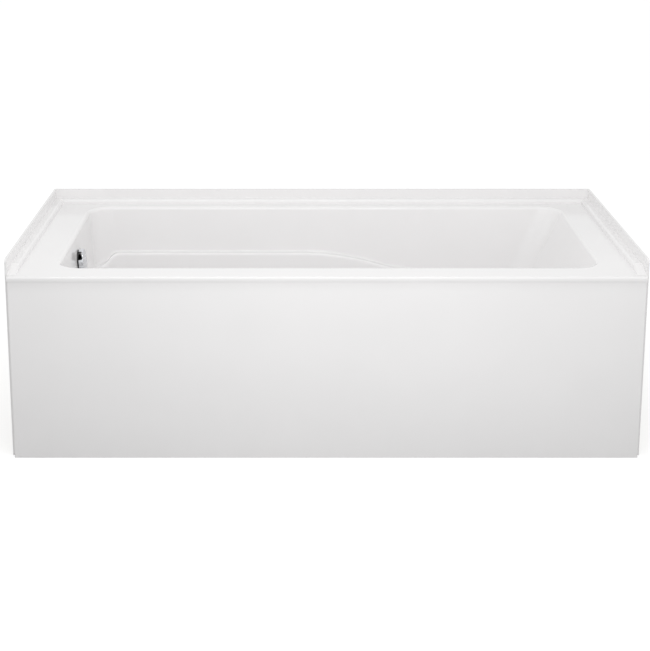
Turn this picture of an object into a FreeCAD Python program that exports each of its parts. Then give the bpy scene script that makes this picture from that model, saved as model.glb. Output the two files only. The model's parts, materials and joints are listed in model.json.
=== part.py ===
"""Alcove bath with an apron front, its timber cradle and its cable-worked waste and overflow.

Frame: +X along the bath, from the drain end to the backrest end; +Y from the apron to the back
wall; +Z up.  The origin is on the floor under the middle of the footprint.  Millimetres.
"""
import FreeCAD, Part
import math
import os
import re
from types import SimpleNamespace

import Sketcher

Vector = FreeCAD.Vector
Rotation = FreeCAD.Rotation
UP = Vector(0, 0, 1)
ALONG = Vector(1, 0, 0)
ACROSS = Vector(0, 1, 0)

doc = FreeCAD.newDocument("alcove_bath")

# ---------------------------------------------------------------------------------------------
# Driving sizes, in millimetres and degrees
# ---------------------------------------------------------------------------------------------
DRIVING = {
    # the bath's outside
    "tub_length": 1524,
    "tub_width": 762,
    "deck_height": 457,
    "skin_thick": 4,
    "laminate_thick": 3.5,
    # decks, from the outer edge to the basin's opening
    "drain_deck": 114,
    "rest_deck": 99,
    "front_deck": 83,
    "back_deck": 66,
    # tile flange and the raised strip inside it
    "flange_rise": 38,
    "flange_thick": 5,
    "flange_corner": 10,
    "strip_width": 22,
    "strip_rise": 12,
    "strip_round": 8,
    "strip_run_out": 60,
    # front lip and apron
    "lip_drop": 11,
    "lip_proud": 3,
    "lip_round": 6,
    "apron_thick": 4,
    "apron_return": 17,
    "flange_wing": 7,
    "apron_laminate": 2.5,
    # basin
    "basin_depth": 345,
    "drain_draft": 5,
    "rest_slope": 27,
    "side_draft": 5,
    "drain_corner": 60,
    "rest_corner": 60,
    "drain_foot_corner": 69,
    "rest_foot_corner": 54,
    "rim_round": 9,
    "floor_round": 42,
    # ledge round the basin: armrests on both long walls, lower and narrow at the ends
    "ledge_drop": 125,
    "ledge_width": 26,
    "ledge_end": 14,
    "ledge_round": 6,
    "ledge_rise": 28,
    "ledge_rise_run": 52,
    "ledge_fall": 60,
    "ledge_fall_run": 420,
    "ledge_level_end": 702,
    # timber
    "rail_size": 38,
    "rail_inset": 62,
    "rail_gap": 6,
    "stud_count": 4,
    "stud_end": 81,
    "board_thick": 12,
    "board_notch": 96,
    "board_edge": 4,
    "bearer_width": 38,
    "bearer_start": 93,
    "bearer_end": 82,
    "bearer_inset": 6,
    # waste: tubes and their slip joints
    "tube_outer": 18.75,
    "tube_bore": 17.25,
    "socket_gap": 0.25,
    "socket_wall": 4,
    "socket_depth": 26,
    "tube_insert": 22,
    "low_socket": 14,
    "low_insert": 12,
    "nut_wall": 4.5,
    "nut_cap": 4,
    "nut_overlap": 12,
    "nut_flute": 6,
    "nut_flute_depth": 1.5,
    "nut_flute_count": 8,
    "thread_gap": 0.2,
    "washer_seat": 2,
    "washer_thick": 1.6,
    "waste_drop": 40.5,
    "drain_setback": 262,
    "tee_reach": 50,
    "tee_low_reach": 36,
    "shoe_reach": 55,
    "tail_reach": 25,
    "tail_outer": 19.05,
    "tail_gap": 0.5,
    # overflow
    "overflow_drop": 74,
    "overflow_hole": 27,
    "overflow_seat": 36,
    "gasket_thick": 4,
    "seat_thick": 5,
    "housing_bore": 24.5,
    "housing_wall": 3.5,
    "housing_depth": 40,
    "hub_thick": 3,
    "hub_flange": 33,
    "hub_wall": 3,
    "hub_length": 26,
    "web_thick": 4,
    "overflow_port": 5,
    "port_count": 4,
    "spindle_radius": 4,
    "running_gap": 0.05,
    "knob_radius": 35,
    "knob_gap": 1,
    "knob_depth": 13,
    "knob_wall": 2.5,
    "knob_round": 2,
    "knob_boss": 8,
    "flute_radius": 5,
    "flute_depth": 1.2,
    "flute_count": 12,
    "inlet_width": 24,
    "inlet_height": 9.5,
    "inlet_count": 4,
    "inlet_turn": 45,
    "screw_head": 4.5,
    "screw_sink": 1.5,
    "screw_shank": 2,
    "screw_length": 13,
    "spindle_cover": 5,
    "drum_radius": 14,
    "drum_thick": 8,
    # drain
    "drain_hole": 25,
    "drain_seat": 36,
    "drain_tube": 23,
    "drain_bore": 20,
    "drain_flange_thick": 2.5,
    "drain_tube_length": 38,
    "drain_port": 4.6,
    "seal_inner": 21,
    "seal_outer": 27,
    "seal_thick": 2.5,
    "seal_gap": 0.1,
    "stopper_radius": 31,
    "stopper_thick": 3,
    "stopper_crown": 2.5,
    "stopper_shoulder": 19,
    "stopper_flat": 8,
    "stopper_lift": 12,
    "pin_radius": 3,
    "plunger_radius": 4,
    "plunger_length": 14,
    "plunger_clear": 6,
    "shoe_height": 64.5,
    "shoe_floor": 5,
    # control cable and the glands that hold its two ends
    "cable_radius": 3,
    "cable_bend": 28,
    "cable_run": 9,
    "gland_wall": 3,
    "gland_head": 3,
    "gland_length": 14,
}

sizes = doc.addObject("Spreadsheet::Sheet", "sizes")
for row, (alias, number) in enumerate(DRIVING.items(), start=1):
    sizes.set(f"A{row}", alias.replace("_", " "))
    sizes.set(f"B{row}", str(number))
    sizes.setAlias(f"B{row}", alias)
doc.recompute()
mm = SimpleNamespace(**{alias: float(sizes.get(alias)) for alias in DRIVING})


# ---------------------------------------------------------------------------------------------
# Helpers: every size is an expression of the driving sizes
# ---------------------------------------------------------------------------------------------
def in_sheet(text):
    """The expression with each driving size looked up in the sheet."""
    return re.sub(r"\b([a-z]+_[a-z_]+)\b", r"sizes.\1", str(text))


def value(text):
    """What an expression of the driving sizes comes to, as a number."""
    found = sizes.evalExpression(str(text))
    return float(getattr(found, "Value", found))


def bind(thing, **expressions):
    """Tie properties of an object to expressions of the driving sizes."""
    for name, text in expressions.items():
        thing.setExpression(name, in_sheet(text))


def put(thing, x="0", y="0", z="0", axis=None, angle=None):
    """Place an object; the angle turns it about the axis."""
    if axis is not None:
        thing.Placement = FreeCAD.Placement(Vector(), Rotation(axis, value(angle)))
        thing.setExpression("Placement.Rotation.Angle", in_sheet(angle))
    for letter, text in (("x", x), ("y", y), ("z", z)):
        thing.setExpression(f"Placement.Base.{letter}", in_sheet(text))
    return thing


def sketch_on(body, plane_role, name):
    """An empty sketch on one of the body's own origin planes."""
    plane = [feature for feature in body.Origin.OriginFeatures if feature.Role == plane_role][0]
    sketch = body.newObject("Sketcher::SketchObject", name)
    sketch.AttachmentSupport = [(plane, "")]
    sketch.MapMode = "FlatFace"
    return sketch


def outline(sketch, points):
    """A closed line through points, each held by two distances from the sketch's origin."""
    corners = [Vector(value(x), value(y), 0) for x, y in points]
    count = len(corners)
    for index in range(count):
        side = Part.LineSegment(corners[index], corners[(index + 1) % count])
        sketch.addGeometry(side, False)
    for index in range(count):
        sketch.addConstraint(Sketcher.Constraint("Coincident", index, 2, (index + 1) % count, 1))
    for index, (corner, texts) in enumerate(zip(corners, points)):
        for kind, number, text in zip(("DistanceX", "DistanceY"), corner, texts):
            held = sketch.addConstraint(Sketcher.Constraint(kind, -1, 1, index, 1, number))
            sketch.setExpression(f"Constraints[{held}]", in_sheet(text))


def circle(sketch, x, y, radius):
    """A circle held by its centre and radius."""
    centre = Vector(value(x), value(y), 0)
    drawn = sketch.addGeometry(Part.Circle(centre, UP, value(radius)), False)
    for kind, number, text in (("DistanceX", centre.x, x), ("DistanceY", centre.y, y)):
        held = sketch.addConstraint(Sketcher.Constraint(kind, -1, 1, drawn, 3, number))
        sketch.setExpression(f"Constraints[{held}]", in_sheet(text))
    held = sketch.addConstraint(Sketcher.Constraint("Radius", drawn, value(radius)))
    sketch.setExpression(f"Constraints[{held}]", in_sheet(radius))


def turned(label, profile):
    """A piece turned about its own Z axis from a profile of (radius, height) points."""
    body = doc.addObject("PartDesign::Body", label)
    sketch = sketch_on(body, "XZ_Plane", label + "_profile")
    outline(sketch, profile)
    turn = body.newObject("PartDesign::Revolution", label + "_turn")
    turn.Profile = sketch
    turn.ReferenceAxis = (sketch, ["V_Axis"])
    turn.Angle = 360
    doc.recompute()
    return body


def ring(label, inner, outer, low, high):
    """A plain turned ring."""
    return turned(label, [(inner, low), (outer, low), (outer, high), (inner, high)])


def panel(label, points, height):
    """A plate of one plan outline, standing to a height above its own XY plane."""
    body = doc.addObject("PartDesign::Body", label)
    sketch = sketch_on(body, "XY_Plane", label + "_plan")
    outline(sketch, points)
    pad = body.newObject("PartDesign::Pad", label + "_pad")
    pad.Profile = sketch
    bind(pad, Length=height)
    doc.recompute()
    return body


def cut_through(body, draw, low, high, copies=None, turn="0"):
    """Cut what draw puts in a sketch, turned about Z, from low to high; repeat it around Z."""
    name = f"{body.Name}_cut_{len(body.Group)}"
    sketch = sketch_on(body, "XY_Plane", name + "_plan")
    sketch.AttachmentOffset = FreeCAD.Placement(Vector(), Rotation(UP, value(turn)))
    sketch.setExpression("AttachmentOffset.Rotation.Angle", in_sheet(turn))
    sketch.setExpression("AttachmentOffset.Base.z", in_sheet(low))
    draw(sketch)
    pocket = body.newObject("PartDesign::Pocket", name)
    pocket.Profile = sketch
    pocket.Reversed = True
    bind(pocket, Length=f"({high}) - ({low})")
    doc.recompute()
    if copies:
        pattern = body.newObject("PartDesign::PolarPattern", name + "_round")
        pattern.Originals = [pocket]
        pattern.Axis = (sketch, ["N_Axis"])
        pattern.Angle = 360
        bind(pattern, Occurrences=copies)
        body.Tip = pattern
        doc.recompute()


def board(label, length, width, height, x, y, z):
    """A straight piece of timber, given by its size and its lowest corner."""
    piece = doc.addObject("Part::Box", label)
    bind(piece, Length=length, Width=width, Height=height)
    return put(piece, x, y, z)


def rod(label, radius, height, place):
    """A plain cylinder, placed by the function given."""
    piece = doc.addObject("Part::Cylinder", label)
    bind(piece, Radius=radius, Height=height)
    return place(piece)


def fitting(label, solids, hollows):
    """One casting: its solids joined, then its waterways cut out."""
    joined = doc.addObject("Part::MultiFuse", label + "_metal")
    joined.Shapes = solids
    waterways = doc.addObject("Part::MultiFuse", label + "_waterways")
    waterways.Shapes = hollows
    casting = doc.addObject("Part::Cut", label)
    casting.Base = joined
    casting.Tool = waterways
    return casting


def made(label, shape):
    """A sub-part whose shape is worked out directly."""
    piece = doc.addObject("Part::Feature", label)
    piece.Shape = shape
    return piece


# ---------------------------------------------------------------------------------------------
# Places that several pieces share
# ---------------------------------------------------------------------------------------------
WALL = "(skin_thick + laminate_thick)"
MID_Y = "((front_deck - back_deck) / 2)"
FLOOR = "(deck_height - basin_depth)"
FLOOR_UNDER = f"({FLOOR} - {WALL})"
LIP_LOW = "(deck_height - lip_drop)"
RAIL_TOP = f"(deck_height - {WALL})"
APRON_INSIDE = "(lip_proud + apron_thick + apron_laminate - tub_width / 2)"
WING_FRONT = "(lip_proud + apron_return - tub_width / 2)"
APRON_HALF = "(tub_length / 2 - flange_wing)"
FLANGE_INSIDE_Y = "(tub_width / 2 - flange_thick)"

# the overflow's own axis leaves the end wall square, at this point of the wall's inner face
OVERFLOW_X = "(drain_deck - tub_length / 2 + overflow_drop * tan(drain_draft))"
OVERFLOW_Z = "(deck_height - overflow_drop)"
GASKET_BACK = f"({WALL} + gasket_thick)"
HOUSING_END = f"({GASKET_BACK} + seat_thick + housing_depth)"
PIPE_INSET = f"({GASKET_BACK} + seat_thick + housing_depth / 2)"
PIPE_X = f"({OVERFLOW_X} - {PIPE_INSET} * cos(drain_draft))"
DRUM_Z = f"({OVERFLOW_Z} - {PIPE_INSET} * sin(drain_draft))"
SOCKET_BORE = "(tube_outer + socket_gap)"
SOCKET_OUTER = f"({SOCKET_BORE} + socket_wall)"
ELBOW_LOW = f"({DRUM_Z} - housing_bore - housing_wall - socket_depth)"
DRAIN_X = "(drain_setback - tub_length / 2)"
WASTE_Z = f"({FLOOR_UNDER} - waste_drop)"
TEE_TOP = f"({WASTE_Z} + {SOCKET_OUTER} + socket_depth)"
TEE_LOW = f"({WASTE_Z} - tee_low_reach)"


def in_wall(piece, depth="0"):
    """Stand a piece on the overflow's axis, its +Z into the basin, from a depth on that axis."""
    x = f"{OVERFLOW_X} + ({depth}) * cos(drain_draft)"
    z = f"{OVERFLOW_Z} + ({depth}) * sin(drain_draft)"
    return put(piece, x, MID_Y, z, ACROSS, "90 - drain_draft")


def upright(x, z, y=MID_Y):
    """A placing function for a cylinder that stands on (x, y, z)."""
    return lambda piece: put(piece, x, y, z)


def lengthways(x):
    """A placing function for a cylinder that lies along +X from x, on the waste's axis."""
    return lambda piece: put(piece, x, MID_Y, WASTE_Z, ACROSS, "90")


def on_drain(piece, z="0"):
    """Stand a piece on the drain's axis."""
    return put(piece, DRAIN_X, MID_Y, z)


sub_parts = []
TOUCH = 0.01
LEAST_ROUND = 0.5


def keep(piece):
    """Count a finished sub-part in."""
    sub_parts.append(piece)
    return piece


# ---------------------------------------------------------------------------------------------
# Acrylic shell and its laminate: two skins of even thickness, one under the other
# ---------------------------------------------------------------------------------------------
def rounded(x_span, y_span, near, far, height):
    """A level rectangle whose corners have one radius at its low X end and one at the other."""
    (x_low, x_high), (y_low, y_high) = x_span, y_span
    corners = [
        (x_low + near, y_low + near, near, 180),
        (x_high - far, y_low + far, far, 270),
        (x_high - far, y_high - far, far, 360),
        (x_low + near, y_high - near, near, 450),
    ]
    arcs = []
    for x, y, radius, start in corners:
        quarter = (math.radians(start), math.radians(start + 90))
        arcs.append(Part.ArcOfCircle(Part.Circle(Vector(x, y, height), UP, radius), *quarter))
    edges = []
    for arc, following in zip(arcs, arcs[1:] + arcs[:1]):
        edges.append(arc.toShape())
        edges.append(Part.LineSegment(arc.EndPoint, following.StartPoint).toShape())
    return Part.Wire(edges)


def basin_walls(height, grow, stepped):
    """The basin's walls at a height.

    grow moves each wall outwards, square to itself; stepped walls stand in by the ledge, as
    they do below it.
    """
    drop = mm.deck_height - height
    drain = math.radians(mm.drain_draft)
    rest = math.radians(mm.rest_slope)
    side = math.radians(mm.side_draft)
    side_step = mm.ledge_width if stepped else 0
    end_step = mm.ledge_end if stepped else 0
    x_low = mm.drain_deck - mm.tub_length / 2
    x_low += drop * math.tan(drain) - grow / math.cos(drain) + end_step
    x_high = mm.tub_length / 2 - mm.rest_deck
    x_high -= drop * math.tan(rest) - grow / math.cos(rest) + end_step
    inset = drop * math.tan(side) - grow / math.cos(side) + side_step
    y_low = mm.front_deck - mm.tub_width / 2 + inset
    y_high = mm.tub_width / 2 - mm.back_deck - inset
    near = (mm.drain_foot_corner if stepped else mm.drain_corner) + grow
    far = (mm.rest_foot_corner if stepped else mm.rest_corner) + grow
    return rounded((x_low, x_high), (y_low, y_high), near, far, height)


def above_ledge(grow):
    """The space over the ledge, seen from the side, right across the bath.

    The ledge is low at the drain end, rises in an S to the armrests, runs level, and falls in
    a longer S to its low stretch round the backrest.
    """
    half = mm.tub_length / 2
    level = mm.deck_height - mm.ledge_drop

    def arc(x, z, radius, start, end):
        points = []
        for degrees in (start, (start + end) / 2, end):
            angle = math.radians(degrees)
            points.append(Vector(x + radius * math.cos(angle), -mm.tub_width,
                                 z + radius * math.sin(angle)))
        return Part.Arc(*points).toShape()

    def sweep(run, height):
        radius = (run ** 2 + height ** 2) / (4 * height)
        return radius, math.degrees(math.asin(run / 2 / radius))

    wall = mm.drain_deck - half + mm.ledge_drop * math.tan(math.radians(mm.drain_draft))
    start = wall + mm.ledge_end
    top = start + mm.ledge_rise_run
    radius, tilt = sweep(mm.ledge_rise_run, mm.ledge_rise)
    curves = [
        arc(start, level - mm.ledge_rise + radius, radius + grow, 270, 270 + tilt),
        arc(top, level - radius, radius - grow, 90 + tilt, 90),
    ]
    bend = mm.ledge_level_end - half
    radius, tilt = sweep(mm.ledge_fall_run, mm.ledge_fall)
    curves.append(arc(bend, level - radius, radius - grow, 90, 90 - tilt))
    curves.append(arc(bend + mm.ledge_fall_run, level - mm.ledge_fall + radius, radius + grow,
                      270 - tilt, 270))
    roof = mm.deck_height + mm.tub_width
    corners = [
        Vector(half, -mm.tub_width, level - mm.ledge_fall - grow),
        Vector(half, -mm.tub_width, roof),
        Vector(-half, -mm.tub_width, roof),
        Vector(-half, -mm.tub_width, level - mm.ledge_rise - grow),
    ]
    stops = [curves[-1].lastVertex().Point, *corners, curves[0].firstVertex().Point]
    curves += [Part.LineSegment(a, b).toShape() for a, b in zip(stops, stops[1:])]
    curves.append(Part.LineSegment(curves[1].lastVertex().Point,
                                   curves[2].firstVertex().Point).toShape())
    side_view = Part.Face(Part.Wire(Part.sortEdges(curves)[0]))
    return side_view.extrude(ACROSS * 2 * mm.tub_width)


def ledge_edges(basin):
    """The basin's edges where its ledge meets the walls above and below it."""
    def on_ledge(face):
        height = face.CenterOfMass.z
        between = mm.deck_height - mm.basin_depth + TOUCH < height < mm.deck_height - TOUCH
        surface = face.Surface
        flat = isinstance(surface, Part.Plane) and surface.Axis.cross(UP).Length < TOUCH
        curved = isinstance(surface, Part.Cylinder) and surface.Axis.cross(ACROSS).Length < TOUCH
        return between and (flat or curved)

    edges = []
    for face in filter(on_ledge, basin.Faces):
        for edge in face.Edges:
            sides = basin.ancestorsOfType(edge, Part.Face)
            if sum(on_ledge(side) for side in sides) == 1:
                edges.append(edge)
    return edges


def air(grow):
    """The space above the bath's inner surface, grown by a depth into the material.

    The rounds of the rim and the ledge shrink with depth, but never below the least round.
    """
    floor = mm.deck_height - mm.basin_depth - grow
    heights = (mm.deck_height, floor)
    lower = Part.makeLoft([basin_walls(z, grow, True) for z in heights], True, True)
    floor_edges = [edge for edge in lower.Edges if edge.BoundBox.ZMax < floor + TOUCH]
    lower = lower.makeFillet(mm.floor_round + grow, floor_edges)
    upper = Part.makeLoft([basin_walls(z, grow, False) for z in heights], True, True)
    upper = upper.common(above_ledge(grow))
    basin = lower.fuse(upper).removeSplitter()
    basin = basin.makeFillet(max(mm.ledge_round - grow, LEAST_ROUND), ledge_edges(basin))
    rim_height = mm.deck_height - grow
    corner = Vector(-mm.tub_length, -mm.tub_width, rim_height)
    sky = Part.makeBox(2 * mm.tub_length, 2 * mm.tub_width, mm.tub_width, corner)
    whole = sky.fuse(basin).removeSplitter()
    rim = [edge for edge in whole.Edges
           if abs(edge.BoundBox.ZMin - rim_height) < TOUCH
           and abs(edge.BoundBox.ZMax - rim_height) < TOUCH
           and edge.BoundBox.XMax < mm.tub_length / 2
           and edge.BoundBox.XMin > -mm.tub_length / 2]
    return whole.makeFillet(max(mm.rim_round - grow, LEAST_ROUND), rim)


def prism(points, low, high):
    """A straight prism of one plan outline between two heights."""
    corners = [Vector(value(x), value(y), value(low)) for x, y in points]
    face = Part.Face(Part.makePolygon(corners + corners[:1]))
    return face.extrude(UP * (value(high) - value(low)))


def skirt_plan(front):
    """Plan of the apron: its face, a return at each end and a wing there for the wall tiles."""
    inner_x = f"({APRON_HALF} - apron_thick)"
    inner_y = "(lip_proud + apron_thick - tub_width / 2)"
    wing_back = f"({WING_FRONT} + apron_thick)"
    right = [
        (APRON_HALF, front),
        (APRON_HALF, WING_FRONT),
        ("tub_length / 2", WING_FRONT),
        ("tub_length / 2", wing_back),
        (inner_x, wing_back),
        (inner_x, inner_y),
    ]
    return right + [(f"-({x})", y) for x, y in reversed(right)]


def flange_plan(inset):
    """Plan of a band along the two ends and the back, from the outer edge inwards."""
    right = [
        (f"tub_length / 2 - ({inset})", WING_FRONT),
        ("tub_length / 2", WING_FRONT),
        ("tub_length / 2", "tub_width / 2"),
    ]
    left = [(f"-({x})", y) for x, y in reversed(right)]
    inner = [
        (f"({inset}) - tub_length / 2", f"tub_width / 2 - ({inset})"),
        (f"tub_length / 2 - ({inset})", f"tub_width / 2 - ({inset})"),
    ]
    return right + left + inner


def wall_hole(radius):
    """The overflow's hole, square through the end wall."""
    angle = math.radians(value("drain_draft"))
    outwards = Vector(-math.cos(angle), 0, -math.sin(angle))
    centre = Vector(value(OVERFLOW_X), value(MID_Y), value(OVERFLOW_Z))
    reach = 3 * value(WALL)
    return Part.makeCylinder(radius, 2 * reach, centre - outwards * reach, outwards)


def floor_hole(radius):
    """The drain's hole, through the floor."""
    reach = 3 * value(WALL)
    low = Vector(value(DRAIN_X), value(MID_Y), value(FLOOR) - reach)
    return Part.makeCylinder(radius, 2 * reach, low, UP)


def lies_on(edge, height):
    """Whether an edge is level, at a height."""
    box = edge.BoundBox
    return abs(box.ZMin - height) < TOUCH and abs(box.ZMax - height) < TOUCH


def raised_strip(low):
    """The strip inside the flanges: its inner edge is rounded, and it runs out at the front."""
    top = mm.deck_height + mm.strip_rise
    reach = mm.flange_thick + mm.strip_width
    strip = prism(flange_plan("flange_thick + strip_width"), low, "deck_height + strip_rise")
    nosing = [edge for edge in strip.Edges
              if lies_on(edge, top)
              and edge.BoundBox.YMax < mm.tub_width / 2 - reach + TOUCH
              and edge.BoundBox.XMin > reach - mm.tub_length / 2 - TOUCH
              and edge.BoundBox.XMax < mm.tub_length / 2 - reach + TOUCH]
    strip = strip.makeFillet(mm.strip_round, nosing)
    front = value(WING_FRONT)
    slope = [
        Vector(-mm.tub_length, front, mm.deck_height),
        Vector(-mm.tub_length, front + mm.strip_run_out, top),
        Vector(-mm.tub_length, front + mm.strip_run_out, 2 * top),
        Vector(-mm.tub_length, front - mm.strip_run_out, 2 * top),
        Vector(-mm.tub_length, front - mm.strip_run_out, mm.deck_height),
    ]
    run_out = Part.Face(Part.makePolygon(slope + slope[:1])).extrude(ALONG * 2 * mm.tub_length)
    return strip.cut(run_out)


def tile_flange(low):
    """The upright band that the wall tiles cover, with its two front corners rounded."""
    flange = prism(flange_plan("flange_thick"), low, "deck_height + flange_rise")
    corners = [edge for edge in flange.Edges
               if lies_on(edge, mm.deck_height + mm.flange_rise)
               and edge.BoundBox.YMax < value(WING_FRONT) + TOUCH]
    return flange.makeFillet(mm.flange_corner, corners)


def shell():
    """The acrylic sheet: basin, deck, raised strip, tile flanges and front lip."""
    deck_plan = [
        ("-tub_length / 2", WING_FRONT),
        (f"-{APRON_HALF}", WING_FRONT),
        (f"-{APRON_HALF}", "-tub_width / 2"),
        (APRON_HALF, "-tub_width / 2"),
        (APRON_HALF, WING_FRONT),
        ("tub_length / 2", WING_FRONT),
        ("tub_length / 2", "tub_width / 2"),
        ("-tub_length / 2", "tub_width / 2"),
    ]
    under = "deck_height - skin_thick"
    sheet = air(mm.skin_thick).cut(air(0))
    sheet = sheet.common(prism(deck_plan, "0", "deck_height"))
    lip = prism(skirt_plan("-tub_width / 2"), LIP_LOW, under)
    whole = sheet.fuse([lip, raised_strip(under), tile_flange(under)]).removeSplitter()
    front = [edge for edge in whole.Edges
             if lies_on(edge, mm.deck_height) and edge.BoundBox.YMax < TOUCH - mm.tub_width / 2]
    lip_round = min(mm.lip_round, mm.lip_drop - mm.skin_thick)
    whole = whole.makeFillet(lip_round, front)
    return whole.cut([wall_hole(mm.overflow_hole), floor_hole(mm.drain_hole)])


def laminate():
    """The glass-fibre laminate on the underside of the acrylic sheet."""
    inner_x = f"({APRON_HALF} - apron_thick)"
    inner_y = "(lip_proud + apron_thick - tub_width / 2)"
    plan = [
        (f"-{inner_x}", inner_y),
        (inner_x, inner_y),
        (inner_x, FLANGE_INSIDE_Y),
        (f"-{inner_x}", FLANGE_INSIDE_Y),
    ]
    depth = mm.skin_thick + mm.laminate_thick
    sheet = air(depth).cut(air(mm.skin_thick))
    sheet = sheet.common(prism(plan, "0", "deck_height"))
    return sheet.cut([wall_hole(mm.overflow_hole), floor_hole(mm.drain_hole)])


keep(made("tub_shell", shell()))
keep(made("fibreglass_backing", laminate()))

# ---------------------------------------------------------------------------------------------
# Apron
# ---------------------------------------------------------------------------------------------
keep(panel("front_apron", skirt_plan("(lip_proud - tub_width / 2)"), LIP_LOW))
keep(board("apron_backing",
           f"2 * ({APRON_HALF} - apron_thick)", "apron_laminate", LIP_LOW,
           f"apron_thick - {APRON_HALF}", "lip_proud + apron_thick - tub_width / 2", "0"))

# ---------------------------------------------------------------------------------------------
# Timber: the apron's frame, the rails under the other decks, and the cradle under the basin
# ---------------------------------------------------------------------------------------------
RAIL_LENGTH = "(tub_length - 2 * rail_inset)"
RAIL_X = "(rail_inset - tub_length / 2)"
RAIL_LOW = f"({RAIL_TOP} - rail_size)"
for name, low in (("top_rail", RAIL_LOW), ("bottom_rail", "0")):
    keep(board(name, RAIL_LENGTH, "rail_size", "rail_size", RAIL_X, APRON_INSIDE, low))
STUD_STEP = f"(({RAIL_LENGTH} - 2 * stud_end - rail_size) / (stud_count - 1))"
for index in range(int(mm.stud_count)):
    stud_x = f"{RAIL_X} + stud_end + {index} * {STUD_STEP}"
    keep(board(f"apron_stud_{index + 1}", "rail_size", "rail_size", f"{RAIL_LOW} - rail_size",
               stud_x, APRON_INSIDE, "rail_size"))
keep(board("back_rail", RAIL_LENGTH, "rail_size", "rail_size",
           RAIL_X, f"{FLANGE_INSIDE_Y} - rail_size", RAIL_LOW))
END_RAIL_Y = f"({APRON_INSIDE} + rail_size + rail_gap)"
END_RAIL_LENGTH = f"({FLANGE_INSIDE_Y} - rail_size - rail_gap - {END_RAIL_Y})"
for name, end_x in (("drain_end_rail", f"apron_thick - {APRON_HALF}"),
                    ("rest_end_rail", f"{APRON_HALF} - apron_thick - rail_size")):
    keep(board(name, "rail_size", END_RAIL_LENGTH, "rail_size", end_x, END_RAIL_Y, RAIL_LOW))

# the flat of the floor's underside, inside its rounded edge
FLAT_EDGE = "(floor_round + board_edge)"
FLAT_X_LOW = f"(drain_deck - tub_length / 2 + basin_depth * tan(drain_draft) + {FLAT_EDGE})"
FLAT_X_HIGH = f"(tub_length / 2 - rest_deck - basin_depth * tan(rest_slope) - {FLAT_EDGE})"
FLAT_IN = f"(basin_depth * tan(side_draft) + ledge_width + {FLAT_EDGE})"
FLAT_Y_LOW = f"(front_deck - tub_width / 2 + {FLAT_IN})"
FLAT_Y_HIGH = f"(tub_width / 2 - back_deck - {FLAT_IN})"
NOTCH_END = f"({DRAIN_X} + board_notch / 2)"
base_board = keep(panel("base_board", [
    (FLAT_X_LOW, FLAT_Y_LOW),
    (FLAT_X_HIGH, FLAT_Y_LOW),
    (FLAT_X_HIGH, FLAT_Y_HIGH),
    (FLAT_X_LOW, FLAT_Y_HIGH),
    (FLAT_X_LOW, f"{MID_Y} + board_notch / 2"),
    (NOTCH_END, f"{MID_Y} + board_notch / 2"),
    (NOTCH_END, f"{MID_Y} - board_notch / 2"),
    (FLAT_X_LOW, f"{MID_Y} - board_notch / 2"),
], "board_thick"))
put(base_board, z=f"{FLOOR_UNDER} - board_thick")
BEARER_LOW_X = f"({NOTCH_END} + bearer_start)"
BEARER_HIGH_X = f"({FLAT_X_HIGH} - bearer_end - bearer_width)"
for name, x in (("bearer_drain_end", BEARER_LOW_X),
                ("bearer_middle", f"({BEARER_LOW_X} + {BEARER_HIGH_X}) / 2"),
                ("bearer_rest_end", BEARER_HIGH_X)):
    keep(board(name, "bearer_width", f"{FLAT_Y_HIGH} - {FLAT_Y_LOW} - 2 * bearer_inset",
               f"{FLOOR_UNDER} - board_thick", x, f"{FLAT_Y_LOW} + bearer_inset", "0"))

# ---------------------------------------------------------------------------------------------
# Overflow: housing behind the end wall, hub through it, rotary cover inside the basin
# ---------------------------------------------------------------------------------------------
HUB_OUTER = "(housing_bore - thread_gap)"
HUB_BORE = f"({HUB_OUTER} - hub_wall)"
SPINDLE_BORE = "(spindle_radius + running_gap)"
WEB_TOP = "(web_thick - hub_length)"
KNOB_LOW = "(hub_thick + knob_gap)"
KNOB_TOP = f"({KNOB_LOW} + knob_depth)"
SPINDLE_TOP = f"({KNOB_TOP} - spindle_cover)"
SCREW_SEAT = f"({KNOB_TOP} - screw_sink)"
SCREW_TIP = f"({SCREW_SEAT} - screw_length)"

gasket = ring("overflow_gasket", "overflow_hole", "overflow_seat", "0", "gasket_thick")
keep(in_wall(gasket, f"-{GASKET_BACK}"))

CABLE_TOP = f"({DRUM_Z} - drum_radius + cable_radius)"
GLAND_BODY = "(cable_radius + gland_wall)"
GLAND_HOLE = f"({GLAND_BODY} + thread_gap)"
GLAND_SIDE = f"({MID_Y} + housing_bore + housing_wall)"


def towards_back(x, y, z):
    """A placing function that lays a piece along +Y from a point."""
    return lambda piece: put(piece, x, y, z, ALONG, "-90")


keep(fitting(
    "overflow_elbow",
    [
        rod("elbow_seat", "overflow_seat", "seat_thick",
            lambda piece: in_wall(piece, f"-({GASKET_BACK} + seat_thick)")),
        rod("elbow_cup", "housing_bore + housing_wall", "seat_thick + housing_depth",
            lambda piece: in_wall(piece, f"-{HOUSING_END}")),
        rod("elbow_socket", SOCKET_OUTER, f"{DRUM_Z} - {ELBOW_LOW}", upright(PIPE_X, ELBOW_LOW)),
    ],
    [
        rod("elbow_bore", "housing_bore", "seat_thick + housing_depth",
            lambda piece: in_wall(piece, f"housing_wall - {HOUSING_END}")),
        rod("elbow_tube_seat", SOCKET_BORE, "socket_depth", upright(PIPE_X, ELBOW_LOW)),
        rod("elbow_way", "tube_bore", f"{DRUM_Z} - {ELBOW_LOW}", upright(PIPE_X, ELBOW_LOW)),
        rod("elbow_gland_hole", GLAND_HOLE, "housing_bore + housing_wall",
            towards_back(PIPE_X, MID_Y, CABLE_TOP)),
    ]))

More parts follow.
